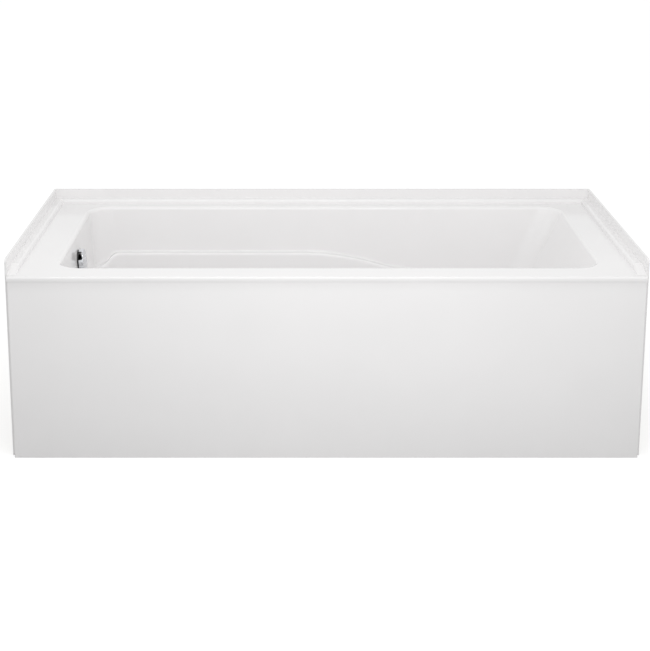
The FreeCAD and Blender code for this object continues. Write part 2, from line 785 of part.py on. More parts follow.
hub = turned("overflow_hub", [
    (SPINDLE_BORE, "-hub_length"),
    (HUB_OUTER, "-hub_length"),
    (HUB_OUTER, "0"),
    ("hub_flange", "0"),
    ("hub_flange", "hub_thick"),
    (HUB_BORE, "hub_thick"),
    (HUB_BORE, WEB_TOP),
    (SPINDLE_BORE, WEB_TOP),
])
cut_through(hub,
            lambda plan: circle(plan, f"({SPINDLE_BORE} + {HUB_BORE}) / 2", "0", "overflow_port"),
            "-hub_length", WEB_TOP, "port_count")
keep(in_wall(hub))

spindle = turned("overflow_spindle", [
    ("0", f"-({PIPE_INSET} + drum_thick / 2)"),
    ("spindle_radius", f"-({PIPE_INSET} + drum_thick / 2)"),
    ("spindle_radius", SPINDLE_TOP),
    ("screw_shank", SPINDLE_TOP),
    ("screw_shank", SCREW_TIP),
    ("0", SCREW_TIP),
])
keep(in_wall(spindle))

drum = ring("cable_drum", "spindle_radius", "drum_radius", "-drum_thick / 2", "drum_thick / 2")
keep(in_wall(drum, f"-{PIPE_INSET}"))

knob = turned("overflow_knob", [
    ("spindle_radius", f"{KNOB_LOW} + knob_gap"),
    ("knob_boss", f"{KNOB_LOW} + knob_gap"),
    ("knob_boss", f"{KNOB_TOP} - knob_wall"),
    ("knob_radius - knob_wall", f"{KNOB_TOP} - knob_wall"),
    ("knob_radius - knob_wall", KNOB_LOW),
    ("knob_radius", KNOB_LOW),
    ("knob_radius", f"{KNOB_TOP} - knob_round"),
    ("knob_radius - knob_round", KNOB_TOP),
    ("screw_head", KNOB_TOP),
    ("screw_head", SCREW_SEAT),
    ("screw_shank", SCREW_SEAT),
    ("screw_shank", SPINDLE_TOP),
    ("spindle_radius", SPINDLE_TOP),
])
cut_through(knob,
            lambda plan: circle(plan, "knob_radius + flute_radius - flute_depth", "0",
                                "flute_radius"),
            KNOB_LOW, KNOB_TOP, "flute_count")
cut_through(knob,
            lambda plan: outline(plan, [
                ("-inlet_width / 2", "knob_boss + knob_wall"),
                ("inlet_width / 2", "knob_boss + knob_wall"),
                ("inlet_width / 2", "knob_radius + flute_radius"),
                ("-inlet_width / 2", "knob_radius + flute_radius"),
            ]),
            KNOB_LOW, f"{KNOB_LOW} + inlet_height", "inlet_count", "inlet_turn")
keep(in_wall(knob))

screw = turned("knob_screw", [
    ("0", SCREW_TIP),
    ("screw_shank", SCREW_TIP),
    ("screw_shank", SCREW_SEAT),
    ("screw_head", SCREW_SEAT),
    ("screw_head", KNOB_TOP),
    ("0", KNOB_TOP),
])
keep(in_wall(screw))

# ---------------------------------------------------------------------------------------------
# Drain: shoe under the floor, strainer flange through it, stopper on a lift pin
# ---------------------------------------------------------------------------------------------
SHOE_TOP = f"({FLOOR_UNDER} - gasket_thick)"
SHOE_LOW = f"({FLOOR_UNDER} - shoe_height)"
SHOE_BORE = "(drain_tube + thread_gap)"
PIN_BORE = "(pin_radius + running_gap)"
GRATE_LOW = f"({FLOOR} - drain_tube_length)"
SEAL_LOW = f"({FLOOR} + drain_flange_thick + seal_gap)"
SEAL_TOP = f"({SEAL_LOW} + seal_thick)"
PLUNGER_LOW = f"({SHOE_LOW} + plunger_clear)"
PLUNGER_TOP = f"({PLUNGER_LOW} + plunger_length)"
GUIDE_TOP = f"({PLUNGER_TOP} + stopper_lift / 2)"

keep(on_drain(ring("shoe_gasket", "drain_hole", "drain_seat", "0", "gasket_thick"), SHOE_TOP))

keep(fitting(
    "drain_shoe",
    [
        rod("shoe_cup", f"{SHOE_BORE} + socket_wall", f"{SHOE_TOP} - {SHOE_LOW}",
            upright(DRAIN_X, SHOE_LOW)),
        rod("shoe_seat", "drain_seat", "seat_thick",
            upright(DRAIN_X, f"{SHOE_TOP} - seat_thick")),
        rod("shoe_branch", SOCKET_OUTER, "shoe_reach", lengthways(f"{DRAIN_X} - shoe_reach")),
    ],
    [
        rod("shoe_bore", SHOE_BORE, f"{SHOE_TOP} - {SHOE_LOW}",
            upright(DRAIN_X, f"{SHOE_LOW} + shoe_floor")),
        rod("shoe_tube_seat", SOCKET_BORE, "socket_depth",
            lengthways(f"{DRAIN_X} - shoe_reach")),
        rod("shoe_way", "tube_bore", "shoe_reach", lengthways(f"{DRAIN_X} - shoe_reach")),
        rod("shoe_gland_hole", "plunger_radius + running_gap + gland_wall + thread_gap",
            "2 * shoe_floor", upright(DRAIN_X, f"{SHOE_LOW} - shoe_floor")),
    ]))

strainer = turned("drain_flange", [
    (PIN_BORE, GRATE_LOW),
    ("drain_tube", GRATE_LOW),
    ("drain_tube", FLOOR),
    ("drain_seat", FLOOR),
    ("drain_seat", f"{FLOOR} + drain_flange_thick / 2"),
    ("drain_seat - drain_flange_thick / 2", f"{FLOOR} + drain_flange_thick"),
    ("drain_bore", f"{FLOOR} + drain_flange_thick"),
    ("drain_bore", f"{GRATE_LOW} + web_thick"),
    (PIN_BORE, f"{GRATE_LOW} + web_thick"),
])
cut_through(strainer,
            lambda plan: circle(plan, f"({PIN_BORE} + drain_bore) / 2", "0", "drain_port"),
            GRATE_LOW, f"{GRATE_LOW} + web_thick", "port_count")
keep(on_drain(strainer))

keep(on_drain(ring("stopper_seal", "seal_inner", "seal_outer", SEAL_LOW, SEAL_TOP)))
stopper = turned("drain_stopper", [
    ("0", SEAL_TOP),
    ("stopper_radius", SEAL_TOP),
    ("stopper_radius", f"{SEAL_TOP} + stopper_thick / 2"),
    ("stopper_radius - stopper_thick / 2", f"{SEAL_TOP} + stopper_thick"),
    ("stopper_shoulder", f"{SEAL_TOP} + stopper_thick + stopper_crown * 2 / 3"),
    ("stopper_flat", f"{SEAL_TOP} + stopper_thick + stopper_crown"),
    ("0", f"{SEAL_TOP} + stopper_thick + stopper_crown"),
])
keep(on_drain(stopper))
keep(rod("lift_pin", "pin_radius", f"{SEAL_TOP} - {PLUNGER_TOP}", upright(DRAIN_X, PLUNGER_TOP)))
keep(rod("cable_plunger", "plunger_radius", "plunger_length", upright(DRAIN_X, PLUNGER_LOW)))

# ---------------------------------------------------------------------------------------------
# Pipework: tee, tubes and the slip joints that clamp them
# ---------------------------------------------------------------------------------------------
keep(fitting(
    "waste_tee",
    [
        rod("tee_run", SOCKET_OUTER, f"{TEE_TOP} - {TEE_LOW}", upright(PIPE_X, TEE_LOW)),
        rod("tee_branch", SOCKET_OUTER, "tee_reach", lengthways(PIPE_X)),
    ],
    [
        rod("tee_way", "tube_bore", f"{TEE_TOP} - {TEE_LOW}", upright(PIPE_X, TEE_LOW)),
        rod("tee_top_seat", SOCKET_BORE, "socket_depth",
            upright(PIPE_X, f"{TEE_TOP} - socket_depth")),
        rod("tee_low_seat", SOCKET_BORE, "low_socket", upright(PIPE_X, TEE_LOW)),
        rod("tee_branch_way", "tube_bore", "tee_reach", lengthways(PIPE_X)),
        rod("tee_branch_seat", SOCKET_BORE, "socket_depth",
            lengthways(f"{PIPE_X} + tee_reach - socket_depth")),
    ]))


def tube(label, length):
    """A length of waste tube, standing on its own origin."""
    return ring(label, "tube_bore", "tube_outer", "0", length)


OVERFLOW_PIPE_LOW = f"({TEE_TOP} - tube_insert)"
keep(upright(PIPE_X, OVERFLOW_PIPE_LOW)(
    tube("overflow_pipe", f"{ELBOW_LOW} + tube_insert - {OVERFLOW_PIPE_LOW}")))
DRAIN_PIPE_LOW = f"({PIPE_X} + tee_reach - tube_insert)"
keep(lengthways(DRAIN_PIPE_LOW)(
    tube("drain_pipe", f"{DRAIN_X} - shoe_reach + tube_insert - {DRAIN_PIPE_LOW}")))
TAIL_LOW = f"({TEE_LOW} - tail_reach)"
TAIL_STEP = f"({TEE_LOW} - washer_seat - nut_cap - tail_gap)"
tailpiece = turned("tailpiece", [
    ("tube_bore", TAIL_LOW),
    ("tail_outer", TAIL_LOW),
    ("tail_outer", TAIL_STEP),
    ("tube_outer", TAIL_STEP),
    ("tube_outer", f"{TEE_LOW} + low_insert"),
    ("tube_bore", f"{TEE_LOW} + low_insert"),
])
keep(put(tailpiece, PIPE_X, MID_Y))

# each slip joint: its name, its socket's mouth, and the turn that points it out of the mouth
SLIP_JOINTS = [
    ("elbow_nut", PIPE_X, ELBOW_LOW, "180"),
    ("tee_top_nut", PIPE_X, TEE_TOP, "0"),
    ("tee_side_nut", f"{PIPE_X} + tee_reach", WASTE_Z, "90"),
    ("shoe_nut", f"{DRAIN_X} - shoe_reach", WASTE_Z, "-90"),
    ("tailpiece_nut", PIPE_X, TEE_LOW, "180"),
]
NUT_BORE = f"({SOCKET_OUTER} + thread_gap)"
NUT_OUTER = f"({NUT_BORE} + nut_wall)"
washers = []
for name, mouth_x, mouth_z, turn in SLIP_JOINTS:
    nut = turned(name, [
        (NUT_BORE, "-nut_overlap"),
        (NUT_OUTER, "-nut_overlap"),
        (NUT_OUTER, "washer_seat + nut_cap"),
        (SOCKET_BORE, "washer_seat + nut_cap"),
        (SOCKET_BORE, "washer_seat"),
        (NUT_BORE, "washer_seat"),
    ])
    cut_through(nut,
                lambda plan: circle(plan, f"{NUT_OUTER} + nut_flute - nut_flute_depth", "0",
                                    "nut_flute"),
                "-nut_overlap", "washer_seat + nut_cap", "nut_flute_count")
    keep(put(nut, mouth_x, MID_Y, mouth_z, ACROSS, turn))
    washer = ring(name + "_washer", "tube_outer", SOCKET_OUTER,
                  "washer_seat - washer_thick", "washer_seat")
    washers.append(put(washer, mouth_x, MID_Y, mouth_z, ACROSS, turn))
slip_washers = doc.addObject("Part::Compound", "slip_washers")
slip_washers.Links = washers
keep(slip_washers)

# ---------------------------------------------------------------------------------------------
# Control cable: from the drum's gland, down beside the overflow pipe, along and up into the shoe
# ---------------------------------------------------------------------------------------------
side_gland = turned("overflow_gland", [
    ("cable_radius", "0"),
    (GLAND_BODY, "0"),
    (GLAND_BODY, "gland_length - gland_head"),
    (f"{GLAND_BODY} + gland_wall", "gland_length - gland_head"),
    (f"{GLAND_BODY} + gland_wall", "gland_length"),
    ("cable_radius", "gland_length"),
])
keep(towards_back(PIPE_X, f"{GLAND_SIDE} + gland_head - gland_length", CABLE_TOP)(side_gland))

GUIDE_OUTER = "(plunger_radius + running_gap + gland_wall)"
low_gland = turned("shoe_gland", [
    ("cable_radius", f"{SHOE_LOW} - gland_head"),
    (f"{GUIDE_OUTER} + gland_wall", f"{SHOE_LOW} - gland_head"),
    (f"{GUIDE_OUTER} + gland_wall", SHOE_LOW),
    (GUIDE_OUTER, SHOE_LOW),
    (GUIDE_OUTER, GUIDE_TOP),
    ("plunger_radius + running_gap", GUIDE_TOP),
    ("plunger_radius + running_gap", PLUNGER_LOW),
    ("cable_radius", PLUNGER_LOW),
])
keep(on_drain(low_gland))


def cable():
    """The cable: level runs and upright runs, joined by quarter bends of one radius."""
    bend = mm.cable_bend
    mid_y, pipe_x, drain_x = value(MID_Y), value(PIPE_X), value(DRAIN_X)
    side_y = value(GLAND_SIDE) + mm.gland_head + bend
    top, low = value(CABLE_TOP), value(PLUNGER_LOW) - mm.cable_run - bend
    start = Vector(pipe_x, value(GLAND_SIDE) + mm.gland_head - mm.gland_length, top)
    corners = [
        Vector(pipe_x, side_y, top),
        Vector(pipe_x, side_y, low),
        Vector(drain_x, side_y, low),
        Vector(drain_x, mid_y, low),
    ]
    end = Vector(drain_x, mid_y, value(PLUNGER_LOW))
    edges = []
    here = start
    for corner, following in zip(corners, corners[1:] + [end]):
        inwards = (corner - here).normalize()
        onwards = (following - corner).normalize()
        bend_start = corner - inwards * bend
        bend_end = corner + onwards * bend
        middle = corner + (onwards - inwards) * bend * (1 - math.sqrt(0.5))
        edges.append(Part.LineSegment(here, bend_start).toShape())
        edges.append(Part.Arc(bend_start, middle, bend_end).toShape())
        here = bend_end
    edges.append(Part.LineSegment(here, end).toShape())
    section = Part.Wire(Part.makeCircle(mm.cable_radius, start, ACROSS))
    route = Part.Wire(edges)
    tube_solid = route.makePipeShell([section], True, False)
    swept = math.pi * mm.cable_radius ** 2 * route.Length
    print(f"cable: length {route.Length:.1f}, volume {tube_solid.Volume:.1f} of {swept:.1f}")
    return tube_solid


keep(made("control_cable", cable()))

# ---------------------------------------------------------------------------------------------
# Check every object, then write each sub-part
# ---------------------------------------------------------------------------------------------
doc.recompute()
for thing in doc.Objects:
    if "Invalid" in thing.State or "Error" in thing.State:
        raise RuntimeError(f"{thing.Label} failed: {thing.State}")
os.makedirs("parts", exist_ok=True)
for piece in sub_parts:
    if piece.Shape.isNull() or not piece.Shape.isValid():
        raise RuntimeError(f"{piece.Label} has no sound shape")
    if not piece.Shape.Solids:
        raise RuntimeError(f"{piece.Label} holds no solid")
for piece in sub_parts:
    piece.Shape.exportStep(f"parts/{piece.Label}.step")
    box = piece.Shape.BoundBox
    print(f"{piece.Label:20s} solids {len(piece.Shape.Solids)}  volume {piece.Shape.Volume:12.1f}  "
          f"x {box.XMin:8.1f} {box.XMax:8.1f}  y {box.YMin:8.1f} {box.YMax:8.1f}  "
          f"z {box.ZMin:7.1f} {box.ZMax:7.1f}")
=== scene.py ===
"""Dresses and lights an alcove bath: its acrylic shell and apron, the timber and laminate under
them, and the cable-worked waste and overflow.

Everything is in metres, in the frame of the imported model: +X along the bath from the drain end,
+Y from the apron to the back wall, +Z up.
"""
import json
import logging
import math
from dataclasses import dataclass
from enum import Enum
from typing import Any, Sequence

import bmesh
import bpy
from mathutils import Matrix, Vector, noise
from mathutils.bvhtree import BVHTree


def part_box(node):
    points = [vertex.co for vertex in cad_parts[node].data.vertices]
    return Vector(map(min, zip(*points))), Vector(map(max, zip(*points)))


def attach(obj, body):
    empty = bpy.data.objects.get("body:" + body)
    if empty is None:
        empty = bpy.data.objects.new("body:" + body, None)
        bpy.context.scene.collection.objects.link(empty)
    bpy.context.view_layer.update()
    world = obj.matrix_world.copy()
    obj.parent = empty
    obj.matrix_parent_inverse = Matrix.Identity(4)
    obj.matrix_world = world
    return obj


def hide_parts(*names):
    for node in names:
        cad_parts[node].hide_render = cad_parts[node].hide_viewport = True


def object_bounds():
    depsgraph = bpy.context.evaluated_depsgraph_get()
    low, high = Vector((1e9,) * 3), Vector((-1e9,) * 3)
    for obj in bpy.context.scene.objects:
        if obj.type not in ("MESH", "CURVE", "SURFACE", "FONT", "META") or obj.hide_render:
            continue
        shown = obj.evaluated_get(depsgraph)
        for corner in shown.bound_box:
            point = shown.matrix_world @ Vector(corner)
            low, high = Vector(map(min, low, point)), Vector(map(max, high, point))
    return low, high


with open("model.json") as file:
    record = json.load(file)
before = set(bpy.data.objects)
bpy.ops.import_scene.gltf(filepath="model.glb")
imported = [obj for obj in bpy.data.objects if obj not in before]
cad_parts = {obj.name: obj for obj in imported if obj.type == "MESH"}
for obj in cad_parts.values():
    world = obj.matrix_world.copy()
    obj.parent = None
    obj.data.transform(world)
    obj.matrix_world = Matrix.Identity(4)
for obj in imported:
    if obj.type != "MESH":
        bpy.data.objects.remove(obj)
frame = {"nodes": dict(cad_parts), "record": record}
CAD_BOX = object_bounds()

LOG = logging.getLogger("bath")
MM = 0.001

NodeTree = bpy.types.NodeTree
Node = bpy.types.Node
Socket = bpy.types.NodeSocket
Material = bpy.types.Material
Shape = bmesh.types.BMesh
Corner = bmesh.types.BMVert
Face = bmesh.types.BMFace
Inputs = dict[str | int, Any]


# ---- Nodes and colours ----
def linear(code: str) -> tuple[float, float, float, float]:
    """Turn an sRGB hex colour into a linear one.

    Args:
        code: The colour as "#rrggbb".

    Returns:
        Linear red, green, blue and an alpha of one.
    """
    parts = [int(code[place:place + 2], 16) / 255 for place in (1, 3, 5)]
    red, green, blue = [part / 12.92 if part <= 0.04045 else ((part + 0.055) / 1.055) ** 2.4
                        for part in parts]
    return red, green, blue, 1.0


def input_of(node: Node, key: str | int) -> Socket:
    """Find a node's input by its number, or by its name among those in use.

    Args:
        node: The node.
        key: The number or the name.

    Returns:
        The input.
    """
    if isinstance(key, int):
        return node.inputs[key]
    return next(socket for socket in node.inputs if socket.name == key and socket.enabled)


def output_of(source: Node | Socket) -> Socket:
    """Give a socket as it is, or the first output in use of a node.

    Args:
        source: The socket or the node.

    Returns:
        The output.
    """
    if isinstance(source, Socket):
        return source
    return next(socket for socket in source.outputs if socket.enabled)


def fill(tree: NodeTree, node: Node, inputs: Inputs) -> None:
    """Set a node's inputs, or link them.

    Args:
        tree: The node's tree.
        node: The node.
        inputs: A value, socket or node for each input.
    """
    for key, given in inputs.items():
        if isinstance(given, (Node, Socket)):
            tree.links.new(output_of(given), input_of(node, key))
        else:
            input_of(node, key).default_value = given


def add_node(tree: NodeTree, kind: str, settings: Inputs | None = None,
             links: Inputs | None = None) -> Node:
    """Add a node with its settings and links.

    Args:
        tree: The tree that takes the node.
        kind: The node's type, such as "TexNoise".
        settings: Values by property name, or by input name or number.
        links: The sockets or nodes to link from, by input name or number.

    Returns:
        The new node.
    """
    node = tree.nodes.new(f"ShaderNode{kind}")
    inputs = {}
    for key, setting in (settings or {}).items():
        if isinstance(key, str) and hasattr(node, key):
            setattr(node, key, setting)
        else:
            inputs[key] = setting
    fill(tree, node, inputs | (links or {}))
    return node


# where a noise texture's few lowest and highest values are cut off
WIDE = {"From Min": 0.3, "From Max": 0.7}
HIGH = {"From Min": 0.35, "From Max": 0.7}
NARROW = {"From Min": 0.35, "From Max": 0.65}


class Axis(Enum):
    """Which way a piece runs."""

    X = 0
    Y = 1
    Z = 2


# ---- Finishes ----
@dataclass(frozen=True)
class Finish:
    """What a surface is made of and how it was made."""

    name: str = "finish"
    slot: str = ""

    def paint(self, tree: NodeTree) -> Inputs:
        """Draw the surface; each finish has its own way.

        Args:
            tree: The material's node tree.

        Returns:
            What the Principled shader's inputs take.
        """
        raise NotImplementedError

    def material(self) -> Material:
        """Make the finish's material, or give the one made before.

        Returns:
            The material.
        """
        if self.name in bpy.data.materials:
            return bpy.data.materials[self.name]
        made = bpy.data.materials.new(self.name)
        made.use_nodes = True
        shader = made.node_tree.nodes["Principled BSDF"]
        fill(made.node_tree, shader, self.paint(made.node_tree))
        return made


@dataclass(frozen=True)
class FormedAcrylic(Finish):
    """Cast acrylic sheet, drawn down over a mould by vacuum."""

    # To the eye: an even hard white gloss.  Reflections waver a little over the wide flats, where
    # the sheet cooled off the mould, and the white is a breath greyer where it was drawn thin.
    name: str = "vacuum_formed_acrylic"
    slot: str = "white_acrylic"
    white: str = "#f6f5f5"
    thin_white: str = "#f2f1f1"
    cloud_mm: float = 160.0
    ripple_mm: float = 42.0
    ripple_depth_mm: float = 0.010
    polish_mm: float = 22.0
    least_rough: float = 0.07
    most_rough: float = 0.12
    ior: float = 1.49

    def paint(self, tree: NodeTree) -> Inputs:
        """Set a glossy white with the ripple that a formed sheet keeps.

        Args:
            tree: The material's node tree.

        Returns:
            What the Principled shader's inputs take.
        """
        place = add_node(tree, "TexCoord").outputs["Object"]
        clouds = add_node(tree, "TexNoise", {"Scale": 1 / (self.cloud_mm * MM), "Detail": 2.0},
                          {"Vector": place})
        white = add_node(tree, "Mix", {"data_type": "RGBA", "A": linear(self.white),
                                       "B": linear(self.thin_white)}, {0: clouds})
        polish = add_node(tree, "TexNoise", {"Scale": 1 / (self.polish_mm * MM), "Detail": 4.0},
                          {"Vector": place})
        rough = add_node(tree, "MapRange",
                         WIDE | {"To Min": self.least_rough, "To Max": self.most_rough},
                         {"Value": polish})
        ripple = add_node(tree, "TexNoise", {"Scale": 1 / (self.ripple_mm * MM), "Detail": 1.0},
                          {"Vector": place})
        bump = add_node(tree, "Bump", {"Strength": 1.0, "Distance": self.ripple_depth_mm * MM},
                        {"Height": ripple})
        return {"IOR": self.ior, "Base Color": white, "Roughness": rough, "Normal": bump}


@dataclass(frozen=True)
class SprayedLaminate(Finish):
    """Chopped glass strands and polyester resin, sprayed on and rolled down by hand."""

    # To the eye: an uneven cream skin.  Pale strands lie in it at all angles, proud of
    # the resin in places, and the resin pools glossy between the lumps.
    name: str = "sprayed_glass_laminate"
    slot: str = "fibreglass"
    resin: str = "#cdc7ae"
    thick_resin: str = "#b3aa88"
    glass: str = "#e8e4d6"
    strand_length_mm: float = 38.0
    strand_width_mm: float = 1.6
    strand_depth_mm: float = 0.25
    strand_from: float = 0.60
    strand_to: float = 0.68
    lump_mm: float = 13.0
    lump_depth_mm: float = 0.9
    pool_mm: float = 65.0
    least_rough: float = 0.22
    most_rough: float = 0.6
    ior: float = 1.55

    # how the strand layers are turned, in degrees about X, Y and Z
    turns: tuple[tuple[float, float, float], ...] = ((10, 25, 15), (70, 5, 55), (30, 60, 125),
                                                     (110, 40, 80), (55, 100, 20))

    def paint(self, tree: NodeTree) -> Inputs:
        """Lay strands over lumpy resin.

        Args:
            tree: The material's node tree.

        Returns:
            What the Principled shader's inputs take.
        """
        place = add_node(tree, "TexCoord").outputs["Object"]
        across = 1 / (self.strand_width_mm * MM)
        strands = None
        for turn in self.turns:
            turned_place = add_node(tree, "Mapping",
                                    {"Rotation": [math.radians(angle) for angle in turn]},
                                    {"Vector": place})
            drawn = add_node(tree, "Mapping",
                             {"Scale": (1 / (self.strand_length_mm * MM), across, across)},
                             {"Vector": turned_place})
            layer = add_node(tree, "TexNoise", {"Scale": 1.0, "Detail": 0.0}, {"Vector": drawn})
            shown = add_node(tree, "MapRange",
                             {"From Min": self.strand_from, "From Max": self.strand_to},
                             {"Value": layer})
            strands = shown if strands is None else add_node(
                tree, "Math", {"operation": "MAXIMUM"}, {0: strands, 1: shown})
        lumps = add_node(tree, "TexNoise", {"Scale": 1 / (self.lump_mm * MM), "Detail": 3.0},
                         {"Vector": place})
        pools = add_node(tree, "TexNoise", {"Scale": 1 / (self.pool_mm * MM), "Detail": 2.0},
                         {"Vector": place})
        resin = add_node(tree, "Mix", {"data_type": "RGBA", "A": linear(self.resin),
                                       "B": linear(self.thick_resin)}, {0: pools})
        colour = add_node(tree, "Mix", {"data_type": "RGBA", "B": linear(self.glass)},
                          {0: strands, "A": resin})
        rough = add_node(tree, "MapRange",
                         WIDE | {"To Min": self.least_rough, "To Max": self.most_rough},
                         {"Value": lumps})
        lumpy = add_node(tree, "Bump", {"Strength": 1.0, "Distance": self.lump_depth_mm * MM},
                         {"Height": lumps})
        bump = add_node(tree, "Bump", {"Strength": 1.0, "Distance": self.strand_depth_mm * MM},
                        {"Height": strands, "Normal": lumpy})
        return {"IOR": self.ior, "Base Color": colour, "Roughness": rough, "Normal": bump}


@dataclass(frozen=True)
class SawnPine(Finish):
    """Softwood, sawn and left rough."""

    # To the eye: straw-coloured wood with browner growth rings, drawn out into stripes along the
    # board and showing as arcs on its ends, with fine fibres and the saw's marks across them.
    # Real fibres are some 0.04 mm thick; they are drawn far coarser, so that they show.
    name: str = "sawn_pine"
    slot: str = "timber"
    grain: Axis = Axis.X
    early_wood: str = "#d9bd8b"
    late_wood: str = "#ad7f4b"
    ring_mm: float = 4.2
    ring_contrast: float = 2.2
    pith_spread_mm: float = 190.0
    bend_mm: float = 50.0
    bend_length_mm: float = 625.0
    bend_width_mm: float = 71.43
    fibre_mm: float = 0.9
    fibre_stretch: float = 45.0
    darkest: float = 0.82
    palest: float = 1.06
    saw_mark_mm: float = 3.0
    saw_depth_mm: float = 0.12
    saw_share: float = 0.4
    roughness: float = 0.78

    def paint(self, tree: NodeTree) -> Inputs:
        """Grow rings round a pith that lies beside the board, and saw across them.

        Args:
            tree: The material's node tree.

        Returns:
            What the Principled shader's inputs take.
        """
        place = add_node(tree, "TexCoord").outputs["Object"]
        parts = add_node(tree, "SeparateXYZ", {}, {"Vector": place}).outputs
        along = self.grain.value
        side, rise = [index for index in range(3) if index != along]
        own = add_node(tree, "ObjectInfo").outputs["Random"]
        pith = add_node(tree, "Math", {"operation": "MULTIPLY_ADD", 1: self.pith_spread_mm * MM},
                        {0: own, 2: parts[side]})
        lying = add_node(tree, "CombineXYZ", {}, {0: parts[along], 1: pith, 2: parts[rise]})
        slow, wide = 1 / (self.bend_length_mm * MM), 1 / (self.bend_width_mm * MM)
        stretched = add_node(tree, "Mapping", {"Scale": (slow, wide, wide)}, {"Vector": lying})
        bend = add_node(tree, "TexNoise", {"Scale": 1.0, "Detail": 2.0}, {"Vector": stretched})
        flat = add_node(tree, "Mapping", {"Scale": (0, 1, 1)}, {"Vector": lying})
        radius = add_node(tree, "VectorMath", {"operation": "LENGTH"}, {0: flat})
        bent = add_node(tree, "Math", {"operation": "MULTIPLY_ADD", 1: self.bend_mm * MM},
                        {0: bend, 2: radius})
        count = add_node(tree, "Math", {"operation": "MULTIPLY", 1: 1 / (self.ring_mm * MM)},
                         {0: bent})
        ring = add_node(tree, "Math", {"operation": "FRACT"}, {0: count})
        late = add_node(tree, "Math", {"operation": "POWER", 1: self.ring_contrast}, {0: ring})
        wood = add_node(tree, "Mix", {"data_type": "RGBA", "A": linear(self.early_wood),
                                      "B": linear(self.late_wood)}, {0: late})
        fine = 1 / (self.fibre_mm * MM)
        drawn = add_node(tree, "Mapping", {"Scale": (fine / self.fibre_stretch, fine, fine)},
                         {"Vector": lying})
        fibres = add_node(tree, "TexNoise", {"Scale": 1.0, "Detail": 2.0}, {"Vector": drawn})
        streaks = add_node(tree, "MapRange",
                           NARROW | {"To Min": self.darkest, "To Max": self.palest},
                           {"Value": fibres})
        colour = add_node(tree, "VectorMath", {"operation": "SCALE"}, {0: wood, "Scale": streaks})
        marks = add_node(tree, "Math",
                         {"operation": "MULTIPLY", 1: math.tau / (self.saw_mark_mm * MM)},
                         {0: parts[along]})
        wave = add_node(tree, "Math", {"operation": "SINE"}, {0: marks})
        height = add_node(tree, "Math", {"operation": "MULTIPLY_ADD", 1: self.saw_share},
                          {0: wave, 2: fibres})
        bump = add_node(tree, "Bump", {"Strength": 1.0, "Distance": self.saw_depth_mm * MM},
                        {"Height": height})
        return {"Base Color": colour, "Roughness": self.roughness, "Normal": bump}


@dataclass(frozen=True)
class Plywood(Finish):
    """Softwood plywood: peeled veneers glued crosswise and sanded."""

    # To the eye: a broad wavy figure on the faces, and on the edges thin light and dark lines
    # where the veneers change direction.
    name: str = "plywood"
    slot: str = "plywood"
    light: str = "#d6b27c"
    dark: str = "#a8794a"
    ply_mm: float = 2.4
    figure_mm: float = 15.0
    figure_stretch: float = 14.0
    figure_wave: float = 0.6
    grain_depth_mm: float = 0.1
    roughness: float = 0.62

    def paint(self, tree: NodeTree) -> Inputs:
        """Draw the figure on the faces and the plies on the edges.

        Args:
            tree: The material's node tree.

        Returns:
            What the Principled shader's inputs take.
        """
        places = add_node(tree, "TexCoord").outputs
        parts = add_node(tree, "SeparateXYZ", {}, {"Vector": places["Object"]}).outputs
        facing = add_node(tree, "SeparateXYZ", {}, {"Vector": places["Normal"]}).outputs
        upright = add_node(tree, "Math", {"operation": "ABSOLUTE"}, {0: facing["Z"]})
        on_edge = add_node(tree, "Math", {"operation": "LESS_THAN", 1: 0.5}, {0: upright})
        size = 1 / (self.figure_mm * MM)
        drawn = add_node(tree, "Mapping", {"Scale": (size / self.figure_stretch, size, size)},
                         {"Vector": places["Object"]})
        figure = add_node(tree, "TexNoise",
                          {"Scale": 1.0, "Detail": 5.0, "Distortion": self.figure_wave},
                          {"Vector": drawn})
        shown = add_node(tree, "MapRange", HIGH, {"Value": figure})
        count = add_node(tree, "Math", {"operation": "MULTIPLY", 1: 0.5 / (self.ply_mm * MM)},
                         {0: parts["Z"]})
        plies = add_node(tree, "Math", {"operation": "FRACT"}, {0: count})
        bands = add_node(tree, "Math", {"operation": "GREATER_THAN", 1: 0.5}, {0: plies})
        share = add_node(tree, "Mix", {"data_type": "FLOAT"}, {0: on_edge, "A": shown, "B": bands})
        colour = add_node(tree, "Mix", {"data_type": "RGBA", "A": linear(self.light),
                                        "B": linear(self.dark)}, {0: share})
        bump = add_node(tree, "Bump", {"Strength": 1.0, "Distance": self.grain_depth_mm * MM},
                        {"Height": figure})
        return {"Base Color": colour, "Roughness": self.roughness, "Normal": bump}


@dataclass(frozen=True)
class Metal(Finish):
    """A metal surface, plated and buffed or turned and left."""

    metal: str = "#d9dbde"
    dull_metal: str = "#cfd1d5"
    least_rough: float = 0.04
    most_rough: float = 0.10
    mark_mm: float = 6.0
    mark_depth_mm: float = 0.002
    drawn: tuple[float, float, float] = (1.0, 1.0, 1.0)

    def paint(self, tree: NodeTree) -> Inputs:
        """Set a metal whose polish varies by its marks.

        Args:
            tree: The material's node tree.

        Returns:
            What the Principled shader's inputs take.
        """
        place = add_node(tree, "TexCoord").outputs["Object"]
        drawn = add_node(tree, "Mapping", {"Scale": self.drawn}, {"Vector": place})
        marks = add_node(tree, "TexNoise", {"Scale": 1 / (self.mark_mm * MM), "Detail": 4.0},
                         {"Vector": drawn})
        colour = add_node(tree, "Mix", {"data_type": "RGBA", "A": linear(self.metal),
                                        "B": linear(self.dull_metal)}, {0: marks})
        rough = add_node(tree, "MapRange",
                         HIGH | {"To Min": self.least_rough, "To Max": self.most_rough},
                         {"Value": marks})
        bump = add_node(tree, "Bump", {"Strength": 1.0, "Distance": self.mark_depth_mm * MM},
                        {"Height": marks})
        return {"Metallic": 1.0, "Base Color": colour, "Roughness": rough, "Normal": bump}


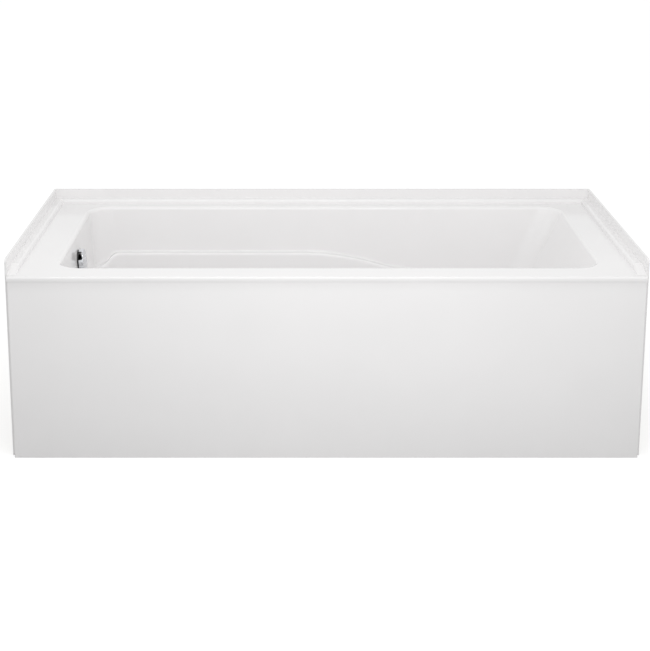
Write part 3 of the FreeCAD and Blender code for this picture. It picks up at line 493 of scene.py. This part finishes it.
@dataclass(frozen=True)
class Plastic(Finish):
    """A plastic or rubber skin with the grain of its mould, or the draw lines of its die."""

    # The grain of a real mould is some 0.1 mm wide; it is drawn coarser, so that it shows.
    skin: str = "#e6e6e0"
    worn_skin: str = "#dadad2"
    ior: float = 1.5
    least_rough: float = 0.35
    most_rough: float = 0.5
    cloud_mm: float = 30.0
    grain_mm: float = 0.8
    grain_depth_mm: float = 0.02
    drawn: tuple[float, float, float] = (1.0, 1.0, 1.0)

    def paint(self, tree: NodeTree) -> Inputs:
        """Set a skin with slow colour drift and fine grain.

        Args:
            tree: The material's node tree.

        Returns:
            What the Principled shader's inputs take.
        """
        place = add_node(tree, "TexCoord").outputs["Object"]
        clouds = add_node(tree, "TexNoise", {"Scale": 1 / (self.cloud_mm * MM), "Detail": 3.0},
                          {"Vector": place})
        colour = add_node(tree, "Mix", {"data_type": "RGBA", "A": linear(self.skin),
                                        "B": linear(self.worn_skin)}, {0: clouds})
        drawn = add_node(tree, "Mapping", {"Scale": self.drawn}, {"Vector": place})
        grain = add_node(tree, "TexNoise", {"Scale": 1 / (self.grain_mm * MM), "Detail": 2.0},
                         {"Vector": drawn})
        rough = add_node(tree, "MapRange",
                         WIDE | {"To Min": self.least_rough, "To Max": self.most_rough},
                         {"Value": clouds})
        bump = add_node(tree, "Bump", {"Strength": 1.0, "Distance": self.grain_depth_mm * MM},
                        {"Height": grain})
        return {"IOR": self.ior, "Base Color": colour, "Roughness": rough, "Normal": bump}


ACRYLIC = FormedAcrylic()
LAMINATE = SprayedLaminate()
PLYWOOD = Plywood()
PINE = {axis: SawnPine(name=f"sawn_pine_{axis.name.lower()}", grain=axis) for axis in Axis}

# Bright chromium plate on brass: a mirror with a cool cast and faint wiping marks.
CHROME = Metal("polished_chrome_plate", "chrome")

# Free-cutting brass, turned: yellow metal with close rings round it, duller between them.  The
# rings are drawn wider than a lathe's feed of 0.1 mm, so that they show.
BRASS = Metal("turned_brass", "brass", metal="#d3ad62", dull_metal="#b48b45", least_rough=0.2,
              most_rough=0.38, mark_mm=0.7, mark_depth_mm=0.02, drawn=(0.05, 0.05, 1.0))

# EPDM rubber, pressed: black without gloss, greyed by its own bloom.
RUBBER = Plastic("pressed_epdm_rubber", "rubber", skin="#1d1d1e", worn_skin="#2b2b2b", ior=1.52,
                 least_rough=0.65, most_rough=0.85, cloud_mm=9, grain_mm=0.6)

# ABS, moulded in a spark-eroded tool: black with a soft satin and slow flow marks.
BLACK_ABS = Plastic("moulded_black_abs", "fitting_plastic", skin="#161617", worn_skin="#202021",
                    ior=1.54, least_rough=0.32, most_rough=0.48, cloud_mm=26, grain_mm=0.9,
                    grain_depth_mm=0.03)

# Polypropylene, moulded: milky and waxy, the flanks of the wings a little scuffed.
WHITE_NUT = Plastic("moulded_white_polypropylene", "nut_plastic", skin="#e4e4de",
                    worn_skin="#d2d2ca", ior=1.49, least_rough=0.34, most_rough=0.5,
                    cloud_mm=12, grain_mm=0.8)

# PVC tube, extruded: ivory white with faint draw lines along it, which the tube's own axis sets.
TUBE = {axis: Plastic(f"extruded_pvc_tube_{axis.name.lower()}", "pipe_plastic", skin="#ebe9e0",
                      worn_skin="#dfdccf", ior=1.53, least_rough=0.24, most_rough=0.38,
                      cloud_mm=55, grain_mm=1.2, grain_depth_mm=0.015,
                      drawn=tuple(0.02 if other == axis else 1.0 for other in Axis))
        for axis in Axis}

# Soft PVC sheath, extruded over a wound liner: black, with the liner's turns just showing.
SHEATH = Plastic("extruded_black_sheath", "cable_sheath", skin="#1a1a1c", worn_skin="#262628",
                 ior=1.53, least_rough=0.36, most_rough=0.5, cloud_mm=20, grain_mm=2.0,
                 grain_depth_mm=0.12)


# ---- Shapes ----
def loft(shape: Shape, rings: Sequence[Sequence[Corner]], capped: bool = False) -> list[list[Face]]:
    """Join each ring of points to the next with a band of faces.

    Args:
        shape: The shape that the points are in.
        rings: The rings; one with a single point is a pole.
        capped: Whether the first and the last ring are closed with a face.

    Returns:
        The bands, each with its faces in the order of the points.
    """
    bands = []
    for ring, following in zip(rings, rings[1:]):
        band = []
        for index in range(max(len(ring), len(following))):
            after = index + 1
            corners = (ring[index % len(ring)], ring[after % len(ring)],
                       following[after % len(following)], following[index % len(following)])
            distinct = list(dict.fromkeys(corners))
            if len(distinct) > 2:
                band.append(shape.faces.new(distinct))
        bands.append(band)
    if capped:
        shape.faces.new(rings[0])
        shape.faces.new(rings[-1][::-1])
    return bands


def polar(radius: float, angle: float, height: float) -> Vector:
    """Give the point at a radius, an angle in radians and a height."""
    return Vector((radius * math.cos(angle), radius * math.sin(angle), height))


def turned(shape: Shape, profile: Sequence[tuple[float, float]], base: Matrix,
           steps: int) -> list[list[Corner]]:
    """Place the rings of points that turning a profile gives.

    Args:
        shape: The shape that takes them.
        profile: Radius and height of each ring; a radius of nought is a pole.
        base: The matrix from the piece's own axis, +Z, into the model's frame.
        steps: How many flats make a round.

    Returns:
        The rings.
    """
    return [[shape.verts.new(base @ polar(radius, math.tau * step / steps, height))
             for step in range(steps if radius else 1)] for radius, height in profile]


# ---- Sub-assemblies ----
@dataclass
class SubAssembly:
    """Pieces that are built and dressed together, and ride one body."""

    body: str = "bath"

    def build(self) -> None:
        """Build and dress the pieces; each sub-assembly has its own."""
        raise NotImplementedError

    def dress(self, finish: Finish, *nodes: str) -> None:
        """Give CAD nodes their finish.

        Args:
            finish: The finish they get.
            nodes: The nodes' names.
        """
        for node in nodes:
            mesh = frame["nodes"][node].data
            mesh.materials.clear()
            mesh.materials.append(finish.material())
            LOG.info("%s dressed in %s", node, finish.name)

    def add(self, name: str, shape: Shape, finishes: Sequence[Finish], node: str | None,
            crease: float = 30.0) -> None:
        """Turn a shape into a piece that rides the sub-assembly's body.

        Args:
            name: The piece's name.
            shape: Its shape, which is used up.
            finishes: Its finishes, by the faces' material numbers.
            node: The CAD node it stands for, or None where it is extra.
            crease: The least angle in degrees that stays a sharp edge.
        """
        bmesh.ops.recalc_face_normals(shape, faces=shape.faces)
        mesh = bpy.data.meshes.new(name)
        shape.to_mesh(mesh)
        shape.free()
        for finish in finishes:
            mesh.materials.append(finish.material())
        mesh.shade_smooth()
        mesh.set_sharp_from_angle(angle=math.radians(crease))
        piece = bpy.data.objects.new(name, mesh)
        bpy.context.scene.collection.objects.link(piece)
        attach(piece, self.body)
        if node:
            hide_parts(node)
        LOG.info("%s built for %s", name, node or "looks alone")


@dataclass
class Skin(SubAssembly):
    """The acrylic shell and apron, and the laminate sprayed on the back of them."""

    merge: float = 0.01 * MM
    cell: float = 20 * MM
    lump: float = 42 * MM
    lump_depth: float = 0.9 * MM
    small_lump: float = 14 * MM
    small_share: float = 0.5

    # how many times the directions of the lumps are evened out, so that they don't cross in corners
    evening: int = 5

    # how near to the acrylic a point of the laminate is stuck to it
    backed: float = 0.2 * MM

    panel: float = 4 * MM
    wing: float = 7 * MM
    wall_slack: float = 0.1 * MM
    corner_round: float = 2.5 * MM
    corner_steps: int = 4
    edge_round: float = 0.7 * MM
    edge_steps: int = 2
    sharp: float = 60.0

    def cut_into_cells(self, shape: Shape, low: Vector, high: Vector) -> None:
        """Cut a shape along a square grid, so that its flats can take lumps.

        Args:
            shape: The shape.
            low: Its lowest corner.
            high: Its highest corner.
        """
        for axis in range(3):
            count = math.floor((high[axis] - low[axis]) / self.cell)
            for index in range(1, count + 1):
                normal = Vector((axis == 0, axis == 1, axis == 2))
                point = low + normal * index * self.cell
                everything = shape.verts[:] + shape.edges[:] + shape.faces[:]
                bmesh.ops.bisect_plane(shape, geom=everything, plane_co=point, plane_no=normal)

    def laminate(self, node: str, backed_node: str) -> Shape:
        """Copy a laminate and make its free side lumpy.

        Args:
            node: The laminate's node.
            backed_node: The node that it is sprayed on.

        Returns:
            The lumpy shape.
        """
        shape = bmesh.new()
        shape.from_mesh(frame["nodes"][node].data)
        bmesh.ops.remove_doubles(shape, verts=shape.verts, dist=self.merge)
        self.cut_into_cells(shape, *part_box(node))
        bmesh.ops.triangulate(shape, faces=[face for face in shape.faces if len(face.verts) > 4])
        mesh = frame["nodes"][backed_node].data
        backed = BVHTree.FromPolygons([point.co for point in mesh.vertices],
                                      [face.vertices for face in mesh.polygons])
        ways = {}
        for point in shape.verts:
            nearest, _, _, distance = backed.find_nearest(point.co)
            ways[point] = (point.co - nearest).normalized() if distance > self.backed else Vector()
        free = [point for point, way in ways.items() if way.length > 0]
        for _ in range(self.evening):
            evened = {}
            for point in free:
                others = [ways[edge.other_vert(point)] for edge in point.link_edges]
                evened[point] = (ways[point] + sum(others, Vector())).normalized()
            ways.update(evened)
        for point in free:
            height = noise.noise(point.co / self.lump)
            height += self.small_share * noise.noise(point.co / self.small_lump)
            place = point.co + ways[point] * height * self.lump_depth
            point.co = Vector([min(max(value, low), high) for value, low, high
                               in zip(place, *CAD_BOX)])
        return shape

    def apron(self) -> Shape:
        """Form the apron: a flat face with a return and a wing at each end.

        Returns:
            The apron, with its outer corners rounded.
        """
        low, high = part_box("front_apron")
        face_x = high.x - self.wing
        right = [
            (face_x, low.y),
            (face_x, high.y - self.panel),
            (high.x, high.y - self.panel),
            (high.x, high.y),
            (face_x - self.panel, high.y),
            (face_x - self.panel, low.y + self.panel),
        ]
        plan = right + [(-x, y) for x, y in reversed(right)]
        shape = bmesh.new()
        floor = shape.faces.new([shape.verts.new((x, y, low.z)) for x, y in plan])
        pushed = bmesh.ops.extrude_face_region(shape, geom=[floor])["geom"]
        tops = [item for item in pushed if isinstance(item, bmesh.types.BMVert)]
        bmesh.ops.translate(shape, verts=tops, vec=(0, 0, high.z - low.z))
        shape.normal_update()

        upright = [edge for edge in shape.edges
                   if abs(edge.verts[0].co.z - edge.verts[1].co.z) > self.panel]
        outer = [edge for edge in upright if abs(edge.verts[0].co.y - low.y) < self.wall_slack]
        bmesh.ops.bevel(shape, geom=outer, offset=self.corner_round, segments=self.corner_steps,
                        profile=0.5, affect="EDGES")
        others = [edge for edge in shape.edges
                  if edge.is_manifold and edge.calc_face_angle() > math.radians(self.sharp)]
        bmesh.ops.bevel(shape, geom=others, offset=self.edge_round, segments=self.edge_steps,
                        profile=0.5, affect="EDGES")
        return shape

    def build(self) -> None:
        """Build and dress the skins."""
        self.dress(ACRYLIC, "tub_shell")
        self.add("formed_apron", self.apron(), [ACRYLIC], "front_apron")
        self.add("shell_laminate", self.laminate("fibreglass_backing", "tub_shell"), [LAMINATE],
                 "fibreglass_backing")
        self.add("apron_laminate", self.laminate("apron_backing", "front_apron"), [LAMINATE],
                 "apron_backing")


@dataclass
class TimberFrame(SubAssembly):
    """The sawn rails, studs and bearers, and the plywood under the basin's floor."""

    crease: float = 40.0
    ease: float = 1.6 * MM
    wander: float = 0.7 * MM
    wander_length: float = 90 * MM
    step: float = 24 * MM

    # moves each board's wander away from the others' by its own place
    apart: float = 31.0

    def board(self, node: str, grain: Axis) -> Shape:
        """Saw a board whose arrises are eased and whose faces wander a little.

        Args:
            node: The CAD node that gives its size and place.
            grain: The way it runs.

        Returns:
            The board.
        """
        low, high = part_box(node)
        along = grain.value
        side, rise = [index for index in range(3) if index != along]
        shape = bmesh.new()
        length = high[along] - low[along]
        count = max(2, round(length / self.step))
        stations = [(0.0, self.ease)]
        stations += [(self.ease + (length - 2 * self.ease) * index / count, 0.0)
                     for index in range(count + 1)]
        stations.append((length, self.ease))
        corners = ((1, 1), (-1, 1), (-1, -1), (1, -1))
        outline = [(signs, math.radians(90 * (corner + turn)))
                   for corner, signs in enumerate(corners) for turn in (0.0, 0.5, 1.0)]
        middle = (low + high) / 2
        rings = []
        for distance, inset in stations:
            ring = []
            for signs, angle in outline:
                place = middle.copy()
                place[along] = low[along] + distance
                swings = (math.cos(angle), math.sin(angle))
                for index, sign, swing in zip((side, rise), signs, swings):
                    half = (high[index] - low[index]) / 2 - inset
                    place[index] += sign * (half - self.ease) + swing * self.ease
                sample = place / self.wander_length + middle * self.apart
                pull = self.wander * (1 + noise.noise(sample)) / 2
                for index in (side, rise):
                    offset = place[index] - middle[index]
                    place[index] -= math.copysign(min(pull, abs(offset)), offset)
                ring.append(shape.verts.new(place))
            rings.append(ring)
        loft(shape, rings, capped=True)
        return shape

    def build(self) -> None:
        """Build every board and dress the plywood."""
        for node in self.boards():
            grain = self.grain_of(node)
            self.add(f"{node}_timber", self.board(node, grain), [PINE[grain]], node, self.crease)
        self.dress(PLYWOOD, "base_board")

    def boards(self) -> list[str]:
        """Give the names of the timber nodes."""
        return [row["node"] for row in frame["record"]["subparts"]
                if row["material_slot"] == "timber"]

    def grain_of(self, node: str) -> Axis:
        """Find the way a board runs, which is its longest side.

        Args:
            node: The board's node.

        Returns:
            Its axis.
        """
        low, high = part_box(node)
        return max(Axis, key=lambda axis: high[axis.value] - low[axis.value])


@dataclass
class BondingStraps(SubAssembly):
    """Strips of wet laminate that hold the timber to the shell and to the apron."""

    width: float = 70 * MM
    thickness: float = 2.2 * MM
    foot: float = 22 * MM
    sunk: float = 1.5 * MM
    ragged: float = 11 * MM
    fray_length: float = 14 * MM
    sides_apart: float = 500 * MM
    lump: float = 15 * MM
    lump_share: float = 0.4
    shoulder: int = 8
    taper: int = 3
    step: float = 3 * MM
    parts: int = 10
    above_floor: float = 3 * MM
    back_spots: tuple[float, ...] = (-0.575, -0.345, -0.115, 0.115, 0.345, 0.575)
    end_spots: tuple[float, ...] = (-0.245, -0.125, 0.155, 0.265)
    apron_spots: tuple[float, ...] = (-0.480, -0.320, -0.080, 0.080, 0.320, 0.480)
    stud_spots: tuple[float, ...] = (0.135, 0.300)
    studs: int = 4

    def laid(self, line: Sequence[Vector]) -> list[Vector]:
        """Lay a line of even steps over the corners of another, rounding them a little.

        Args:
            line: The corners.

        Returns:
            The points, closely spaced.
        """
        points = [line[0]]
        for start, end in zip(line, line[1:]):
            count = max(1, round((end - start).length / self.step))
            points += [start.lerp(end, part / count) for part in range(1, count + 1)]
        rounded = [(before + 2 * point + after) / 4
                   for before, point, after in zip(points, points[1:], points[2:])]
        return [points[0], *rounded, points[-1]]

    def strap(self, shape: Shape, across: Vector, line: Sequence[Vector]) -> None:
        """Add a strap with ragged sides and a lumpy skin.

        Args:
            shape: The shape that takes it.
            across: The direction of its width; across times its course points off the timber.
            line: The corners that its middle runs over, on the timber's faces.
        """
        points = self.laid(line)
        last = len(points) - 1
        rows = []
        for index, point in enumerate(points):
            course = points[min(index + 1, last)] - points[max(index - 1, 0)]
            outward = across.cross(course.normalized())
            end = min(1.0, index / self.taper, (last - index) / self.taper)
            top, under = [], []
            for part in range(self.parts + 1):
                side = 2 * part / self.parts - 1
                edge = point + across * math.copysign(self.sides_apart, side)
                fray = noise.noise(edge / self.fray_length)
                reach = side * (self.width / 2 + fray * self.ragged)
                place = point + across * reach
                lump = 1 + self.lump_share * noise.noise(place / self.lump)
                lift = self.thickness * (1 - side ** self.shoulder) * end * lump
                top.append(shape.verts.new(place + outward * lift))
                under.append(shape.verts.new(place - outward * self.sunk))
            rows.append(top + under[::-1])
        loft(shape, rows, capped=True)

    def straps(self) -> Shape:
        """Lay every strap.

        Returns:
            All straps in one shape.
        """
        shape = bmesh.new()
        x_way, y_way, z_way = Vector((1, 0, 0)), Vector((0, 1, 0)), Vector((0, 0, 1))
        low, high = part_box("back_rail")
        outline = [(high.y, high.z), (high.y, low.z), (low.y, low.z), (low.y, high.z),
                   (low.y - self.foot, high.z)]
        for spot in self.back_spots:
            self.strap(shape, x_way, [Vector((spot, y, z)) for y, z in outline])
        for node, way in (("drain_end_rail", 1), ("rest_end_rail", -1)):
            low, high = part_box(node)
            outer, inner = (low.x, high.x) if way > 0 else (high.x, low.x)
            outline = [(outer, high.z), (outer, low.z), (inner, low.z), (inner, high.z),
                       (inner + way * self.foot, high.z)]
            for spot in self.end_spots:
                self.strap(shape, way * y_way, [Vector((x, spot, z)) for x, z in outline])
        low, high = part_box("top_rail")
        over_top = [(low.y, low.z - self.foot), (low.y, low.z), (high.y, low.z), (high.y, high.z),
                    (high.y + self.foot, high.z)]
        low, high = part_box("bottom_rail")
        over_foot = [(low.y, high.z + self.foot), (low.y, high.z), (high.y, high.z),
                     (high.y, low.z + self.above_floor)]
        for spot in self.apron_spots:
            self.strap(shape, -x_way, [Vector((spot, y, z)) for y, z in over_top])
            self.strap(shape, x_way, [Vector((spot, y, z)) for y, z in over_foot])
        for number in range(1, self.studs + 1):
            low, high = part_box(f"apron_stud_{number}")
            outline = [(low.x - self.foot, low.y), (low.x, low.y), (low.x, high.y),
                       (high.x, high.y), (high.x, low.y), (high.x + self.foot, low.y)]
            for spot in self.stud_spots:
                self.strap(shape, z_way, [Vector((x, y, spot)) for x, y in outline])
        return shape

    def build(self) -> None:
        """Build the straps."""
        self.add("bonding_straps", self.straps(), [LAMINATE], None)


@dataclass
class Overflow(SubAssembly):
    """The rotary overflow: chrome cover and its screw, hub, housing, spindle and drum."""

    cover_low: float = 4 * MM
    cover_top: float = 17 * MM
    cover_radius: float = 35 * MM
    cover_wall: float = 2.5 * MM
    cover_round: float = 2 * MM
    cover_ease: float = 0.3125 * MM
    cover_steps: int = 360
    round_parts: int = 5
    crown_parts: int = 8
    crown: float = 1.2 * MM
    boss: float = 8 * MM
    boss_gap: float = 1 * MM
    spindle: float = 4 * MM
    spindle_top: float = 12 * MM
    flutes: int = 12
    flute_depth: float = 1.2 * MM
    flute_width: float = 7 * MM
    inlets: int = 4
    inlet_width: float = 24 * MM
    inlet_height: float = 9.5 * MM
    inlet_turn: float = 45.0
    inlet_soft: float = 2.0
    screw_head: float = 4.5 * MM
    screw_shank: float = 2 * MM
    screw_seat: float = 15.5 * MM
    screw_length: float = 13 * MM
    screw_gap: float = 0.1 * MM
    seat_lip: float = 0.4 * MM
    seat_drop: float = 0.3 * MM
    screw_dome: float = 0.25 * MM
    screw_rings: int = 20
    screw_steps: int = 96
    recess_arm: float = 2.8 * MM
    recess_width: float = 0.75 * MM
    recess_depth: float = 1.1 * MM

    def axis(self) -> Matrix:
        """Find the overflow's axis from the knob's joint.

        Returns:
            The matrix that takes +Z to that axis, from the wall's face.
        """
        joint = next(joint for joint in frame["record"]["behaviour"]["joints"]
                     if joint["name"] == "knob_turn")
        ahead = Vector(joint["axis"]).normalized()
        turn = Vector((0, 0, 1)).rotation_difference(ahead).to_matrix().to_4x4()
        return Matrix.Translation(joint["pos_m"]) @ turn

    def cover(self) -> Shape:
        """Form the cover: a crowned cap with a fluted grip and four water inlets.

        Returns:
            The cap; its unplated inside has material number 1, black ABS, whose black also paints
            the shade inside the cap that shows through the inlets.
        """
        low, top, wall = self.cover_low, self.cover_top, self.cover_wall
        base = self.axis()
        half_inlet = math.asin(self.inlet_width / 2 / (self.cover_radius - wall / 2))
        half_flute = self.flute_width / 2 / self.cover_radius
        soft = math.radians(self.inlet_soft)

        def near(angle: float, count: int, turn: float) -> float:
            """Give the angle to the nearest of several places round the cover.

            Args:
                angle: Where it is measured from.
                count: How many places there are.
                turn: Where the first one is.

            Returns:
                The angle between, in radians.
            """
            pitch = math.tau / count
            return abs((angle - turn + pitch / 2) % pitch - pitch / 2)

        shape = bmesh.new()
        columns = []
        for step in range(self.cover_steps):
            angle = math.tau * step / self.cover_steps
            away = near(angle, self.inlets, math.radians(self.inlet_turn))
            opened = min(max((half_inlet + soft / 2 - away) / soft, 0), 1)
            foot = low + self.inlet_height * opened * opened * (3 - 2 * opened)
            dip = max(0.0, 1 - (near(angle, self.flutes, 0) / half_flute) ** 2)
            outer = self.cover_radius - self.flute_depth * dip
            inner = self.cover_radius - wall
            profile = [(inner, foot), (outer - self.cover_ease, foot),
                       (outer, foot + self.cover_ease)]
            for part in range(self.round_parts + 1):
                swing = math.radians(90 * part / self.round_parts)
                profile.append((outer - self.cover_round * (1 - math.cos(swing)),
                                top - self.crown - self.cover_round * (1 - math.sin(swing))))
            for part in range(1, self.crown_parts):
                share = part / self.crown_parts
                radius = (outer - self.cover_round) * (1 - share)
                radius += (self.screw_head + self.seat_lip) * share
                profile.append((radius, top - self.crown * (radius / self.cover_radius) ** 2))
            outside = len(profile)
            profile += [(self.screw_head, top - self.seat_drop), (self.screw_head, self.screw_seat),
                        (self.screw_shank, self.screw_seat), (self.screw_shank, self.spindle_top),
                        (self.spindle, self.spindle_top), (self.spindle, low + self.boss_gap),
                        (self.boss, low + self.boss_gap), (self.boss, top - self.crown - wall),
                        (inner, top - self.crown - wall)]
            columns.append([shape.verts.new(base @ polar(radius, angle, height))
                            for radius, height in profile])
        # the inside faces take black ABS: partly the cap's own unplated plastic, partly painted
        # shade seen through the inlets
        for band in loft(shape, columns + columns[:1]):
            for face in band[outside:]:
                face.material_index = 1
        return shape

    def screw(self) -> Shape:
        """Form the cover's screw, with a cross recess in its head.

        Returns:
            The screw.
        """
        base = self.axis()
        shape = bmesh.new()
        tip = self.screw_seat - self.screw_length
        head, shank = self.screw_head - self.screw_gap, self.screw_shank - self.screw_gap
        steps = self.screw_steps
        rows = turned(shape, [(0, self.cover_top - self.recess_depth)], base, steps)
        for ring in range(1, self.screw_rings + 1):
            radius = head * ring / self.screw_rings
            row = []
            for step in range(steps):
                place = polar(radius, math.tau * step / steps, self.cover_top)
                near, far = sorted((abs(place.x), abs(place.y)))
                place.z -= self.screw_dome * (radius / self.screw_head) ** 2
                recessed = near < self.recess_width and far < self.recess_arm
                place.z -= self.recess_depth if recessed else 0
                row.append(shape.verts.new(base @ place))
            rows.append(row)
        rows += turned(shape, [(head, self.screw_seat), (shank, self.screw_seat), (shank, tip),
                               (0, tip)], base, steps)
        loft(shape, rows)
        return shape

    def build(self) -> None:
        """Build and dress the overflow."""
        knob = Overflow(body="knob")
        # the cover's black inside is partly painted shade inside the cap
        knob.add("overflow_cover", knob.cover(), [CHROME, BLACK_ABS], "overflow_knob")
        knob.add("cover_screw", knob.screw(), [CHROME], "knob_screw")
        self.dress(BRASS, "overflow_spindle")
        self.dress(WHITE_NUT, "cable_drum", "elbow_nut")
        self.dress(BLACK_ABS, "overflow_hub", "overflow_elbow")
        self.dress(RUBBER, "overflow_gasket")


@dataclass
class Drain(SubAssembly):
    """The drain: strainer flange and shoe, and the stopper with its seal and lift pin."""

    rim_round: float = 1.5 * MM
    crown: float = 2.5 * MM
    groove_radius: float = 27 * MM
    groove_depth: float = 0.5 * MM
    groove_half: float = 1.2 * MM
    rim_parts: int = 6
    dome_parts: int = 24
    steps: int = 128

    def stopper(self) -> Shape:
        """Turn the stopper: a low dome with a rounded rim and a shallow groove inside it.

        Returns:
            The stopper.
        """
        low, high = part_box("drain_stopper")
        radius = (high.x - low.x) / 2
        shoulder = high.z - self.crown
        centre = Vector(((low.x + high.x) / 2, (low.y + high.y) / 2, 0))
        profile = [(0, low.z), (radius - self.rim_round / 2, low.z)]
        half = (shoulder - low.z) / 2
        for part in range(self.rim_parts + 1):
            swing = math.radians(-90 + 180 * part / self.rim_parts)
            profile.append((radius - self.rim_round * (1 - math.cos(swing)),
                            low.z + half + half * math.sin(swing)))
        rim = radius - self.rim_round
        for part in range(1, self.dome_parts + 1):
            here = rim * (1 - part / self.dome_parts)
            dip = max(0.0, 1 - abs(here - self.groove_radius) / self.groove_half)
            rise = self.crown * (1 - (here / rim) ** 2)
            profile.append((here, shoulder + rise - self.groove_depth * dip))
        profile[-1] = (0, high.z)
        shape = bmesh.new()
        loft(shape, turned(shape, profile, Matrix.Translation(centre), self.steps))
        return shape

    def build(self) -> None:
        """Build and dress the drain."""
        Drain(body="stopper").add("domed_stopper", self.stopper(), [CHROME], "drain_stopper")
        self.dress(CHROME, "drain_flange")
        self.dress(RUBBER, "stopper_seal", "shoe_gasket")
        self.dress(BRASS, "lift_pin", "cable_plunger", "shoe_gland")
        self.dress(BLACK_ABS, "drain_shoe")
        self.dress(WHITE_NUT, "shoe_nut")


@dataclass
class Pipework(SubAssembly):
    """The waste's tubes, tee and slip joints, and the cable beside them."""

    def build(self) -> None:
        """Dress the pipework."""
        self.dress(TUBE[Axis.Z], "overflow_pipe", "tailpiece")
        self.dress(TUBE[Axis.X], "drain_pipe")
        self.dress(WHITE_NUT, "tee_top_nut", "tee_side_nut", "tailpiece_nut")
        self.dress(BLACK_ABS, "waste_tee")
        self.dress(RUBBER, "slip_washers")
        self.dress(BRASS, "overflow_gland")
        self.dress(SHEATH, "control_cable")


# ---- Studio ----
@dataclass(frozen=True)
class Softbox:
    """A soft lamp: its size, its power, where it hangs and the point that it faces."""

    name: str
    width: float
    height: float
    watts: float
    place: tuple[float, float, float]
    target: tuple[float, float, float]
    mirrored: bool = True


@dataclass
class Studio:
    """Pale floor, white surroundings, soft lamps and the camera, in metres, watts and degrees."""

    floor_size: float = 60.0
    camera_x: float = -0.0673
    camera_y: float = -3.7038
    camera_z: float = 1.4367
    camera_pitch: float = 13.24
    lens: float = 81.33
    sensor: float = 36.0
    shift_x: float = 0.0409
    shift_y: float = -0.2
    sky: float = 0.70
    floor_colour: str = "#bcbcbc"
    floor_glow: float = 0.66

    # a long softbox over the bath, and a square one before its apron that the gloss doesn't mirror
    lamps: tuple[Softbox, ...] = (
        Softbox("overhead_softbox", width=1.5, height=0.3, watts=6.2,
                place=(-0.25, -0.6, 2.2), target=(-0.15, 0.0, 0.4)),
        Softbox("front_softbox", width=1.3, height=1.3, watts=8.8,
                place=(0.15, -1.75, 1.0), target=(0.05, -0.38, 0.35), mirrored=False),
    )

    def seen(self, tree: NodeTree) -> Node:
        """Mark the rays that look at the surroundings: camera, mirror and glass rays.

        Args:
            tree: The tree that needs the mark.

        Returns:
            A node that gives one for such a ray, and otherwise nought.
        """
        path = add_node(tree, "LightPath").outputs
        mirrored = add_node(tree, "Math", {"operation": "MAXIMUM"},
                            {0: path["Is Camera Ray"], 1: path["Is Glossy Ray"]})
        return add_node(tree, "Math", {"operation": "MAXIMUM"},
                        {0: mirrored, 1: path["Is Transmission Ray"]})

    def floor(self) -> None:
        """Lay a white floor that keeps the bath's shadow and fades into the surroundings."""
        half = self.floor_size / 2
        mesh = bpy.data.meshes.new("studio_floor")
        corners = [(-half, -half, 0), (half, -half, 0), (half, half, 0), (-half, half, 0)]
        mesh.from_pydata(corners, [], [(0, 1, 2, 3)])
        floor = bpy.data.objects.new("studio_floor", mesh)
        bpy.context.scene.collection.objects.link(floor)
        material = bpy.data.materials.new("studio_floor_paint")
        material.use_nodes = True
        tree = material.node_tree
        shader = tree.nodes["Principled BSDF"]
        glow = add_node(tree, "Math", {"operation": "MULTIPLY", 1: self.floor_glow},
                        {0: self.seen(tree)})
        fill(tree, shader, {"Base Color": linear(self.floor_colour), "Roughness": 1.0,
                            "Specular IOR Level": 0.0, "Emission Color": linear("#ffffff"),
                            "Emission Strength": glow})
        mesh.materials.append(material)

    def surroundings(self) -> None:
        """Fill the world with even white light, and show it as plain white behind the bath."""
        world = bpy.data.worlds.new("studio_world")
        world.use_nodes = True
        tree = world.node_tree
        strength = add_node(tree, "MapRange", {"To Min": self.sky, "To Max": 1.0},
                            {"Value": self.seen(tree)})
        fill(tree, tree.nodes["Background"], {"Color": linear("#ffffff"), "Strength": strength})
        bpy.context.scene.world = world

    def hang(self, lamp: Softbox) -> None:
        """Hang a softbox and turn its front to what it lights.

        Args:
            lamp: The softbox.
        """
        data = bpy.data.lights.new(lamp.name, "AREA")
        data.shape = "RECTANGLE"
        data.size = lamp.width
        data.size_y = lamp.height
        data.energy = lamp.watts
        box = bpy.data.objects.new(lamp.name, data)
        bpy.context.scene.collection.objects.link(box)
        box.location = lamp.place
        box.rotation_mode = "QUATERNION"
        aim = Vector(lamp.target) - Vector(lamp.place)
        box.rotation_quaternion = aim.to_track_quat("-Z", "Y")
        box.visible_glossy = lamp.mirrored

    def camera(self) -> None:
        """Stand the camera where the bath's top takes the outline that the photograph shows."""
        data = bpy.data.cameras.new("camera")
        data.lens = self.lens
        data.sensor_width = self.sensor
        data.shift_x = self.shift_x
        data.shift_y = self.shift_y
        camera = bpy.data.objects.new("camera", data)
        bpy.context.scene.collection.objects.link(camera)
        camera.location = (self.camera_x, self.camera_y, self.camera_z)
        camera.rotation_euler = (math.radians(90 - self.camera_pitch), 0, 0)
        bpy.context.scene.camera = camera

    def build(self) -> None:
        """Set the whole studio up."""
        self.camera()
        self.floor()
        self.surroundings()
        for lamp in self.lamps:
            self.hang(lamp)
        bpy.context.scene.view_settings.view_transform = "Standard"
        LOG.info("studio built")


def main() -> None:
    """Build the studio and every sub-assembly."""
    logging.basicConfig(level=logging.INFO, format="%(name)s: %(message)s")
    Studio().build()
    for kind in (Skin, TimberFrame, BondingStraps, Overflow, Drain, Pipework):
        kind().build()
        LOG.info("%s done", kind.__name__)


if __name__ == "__main__":
    main()
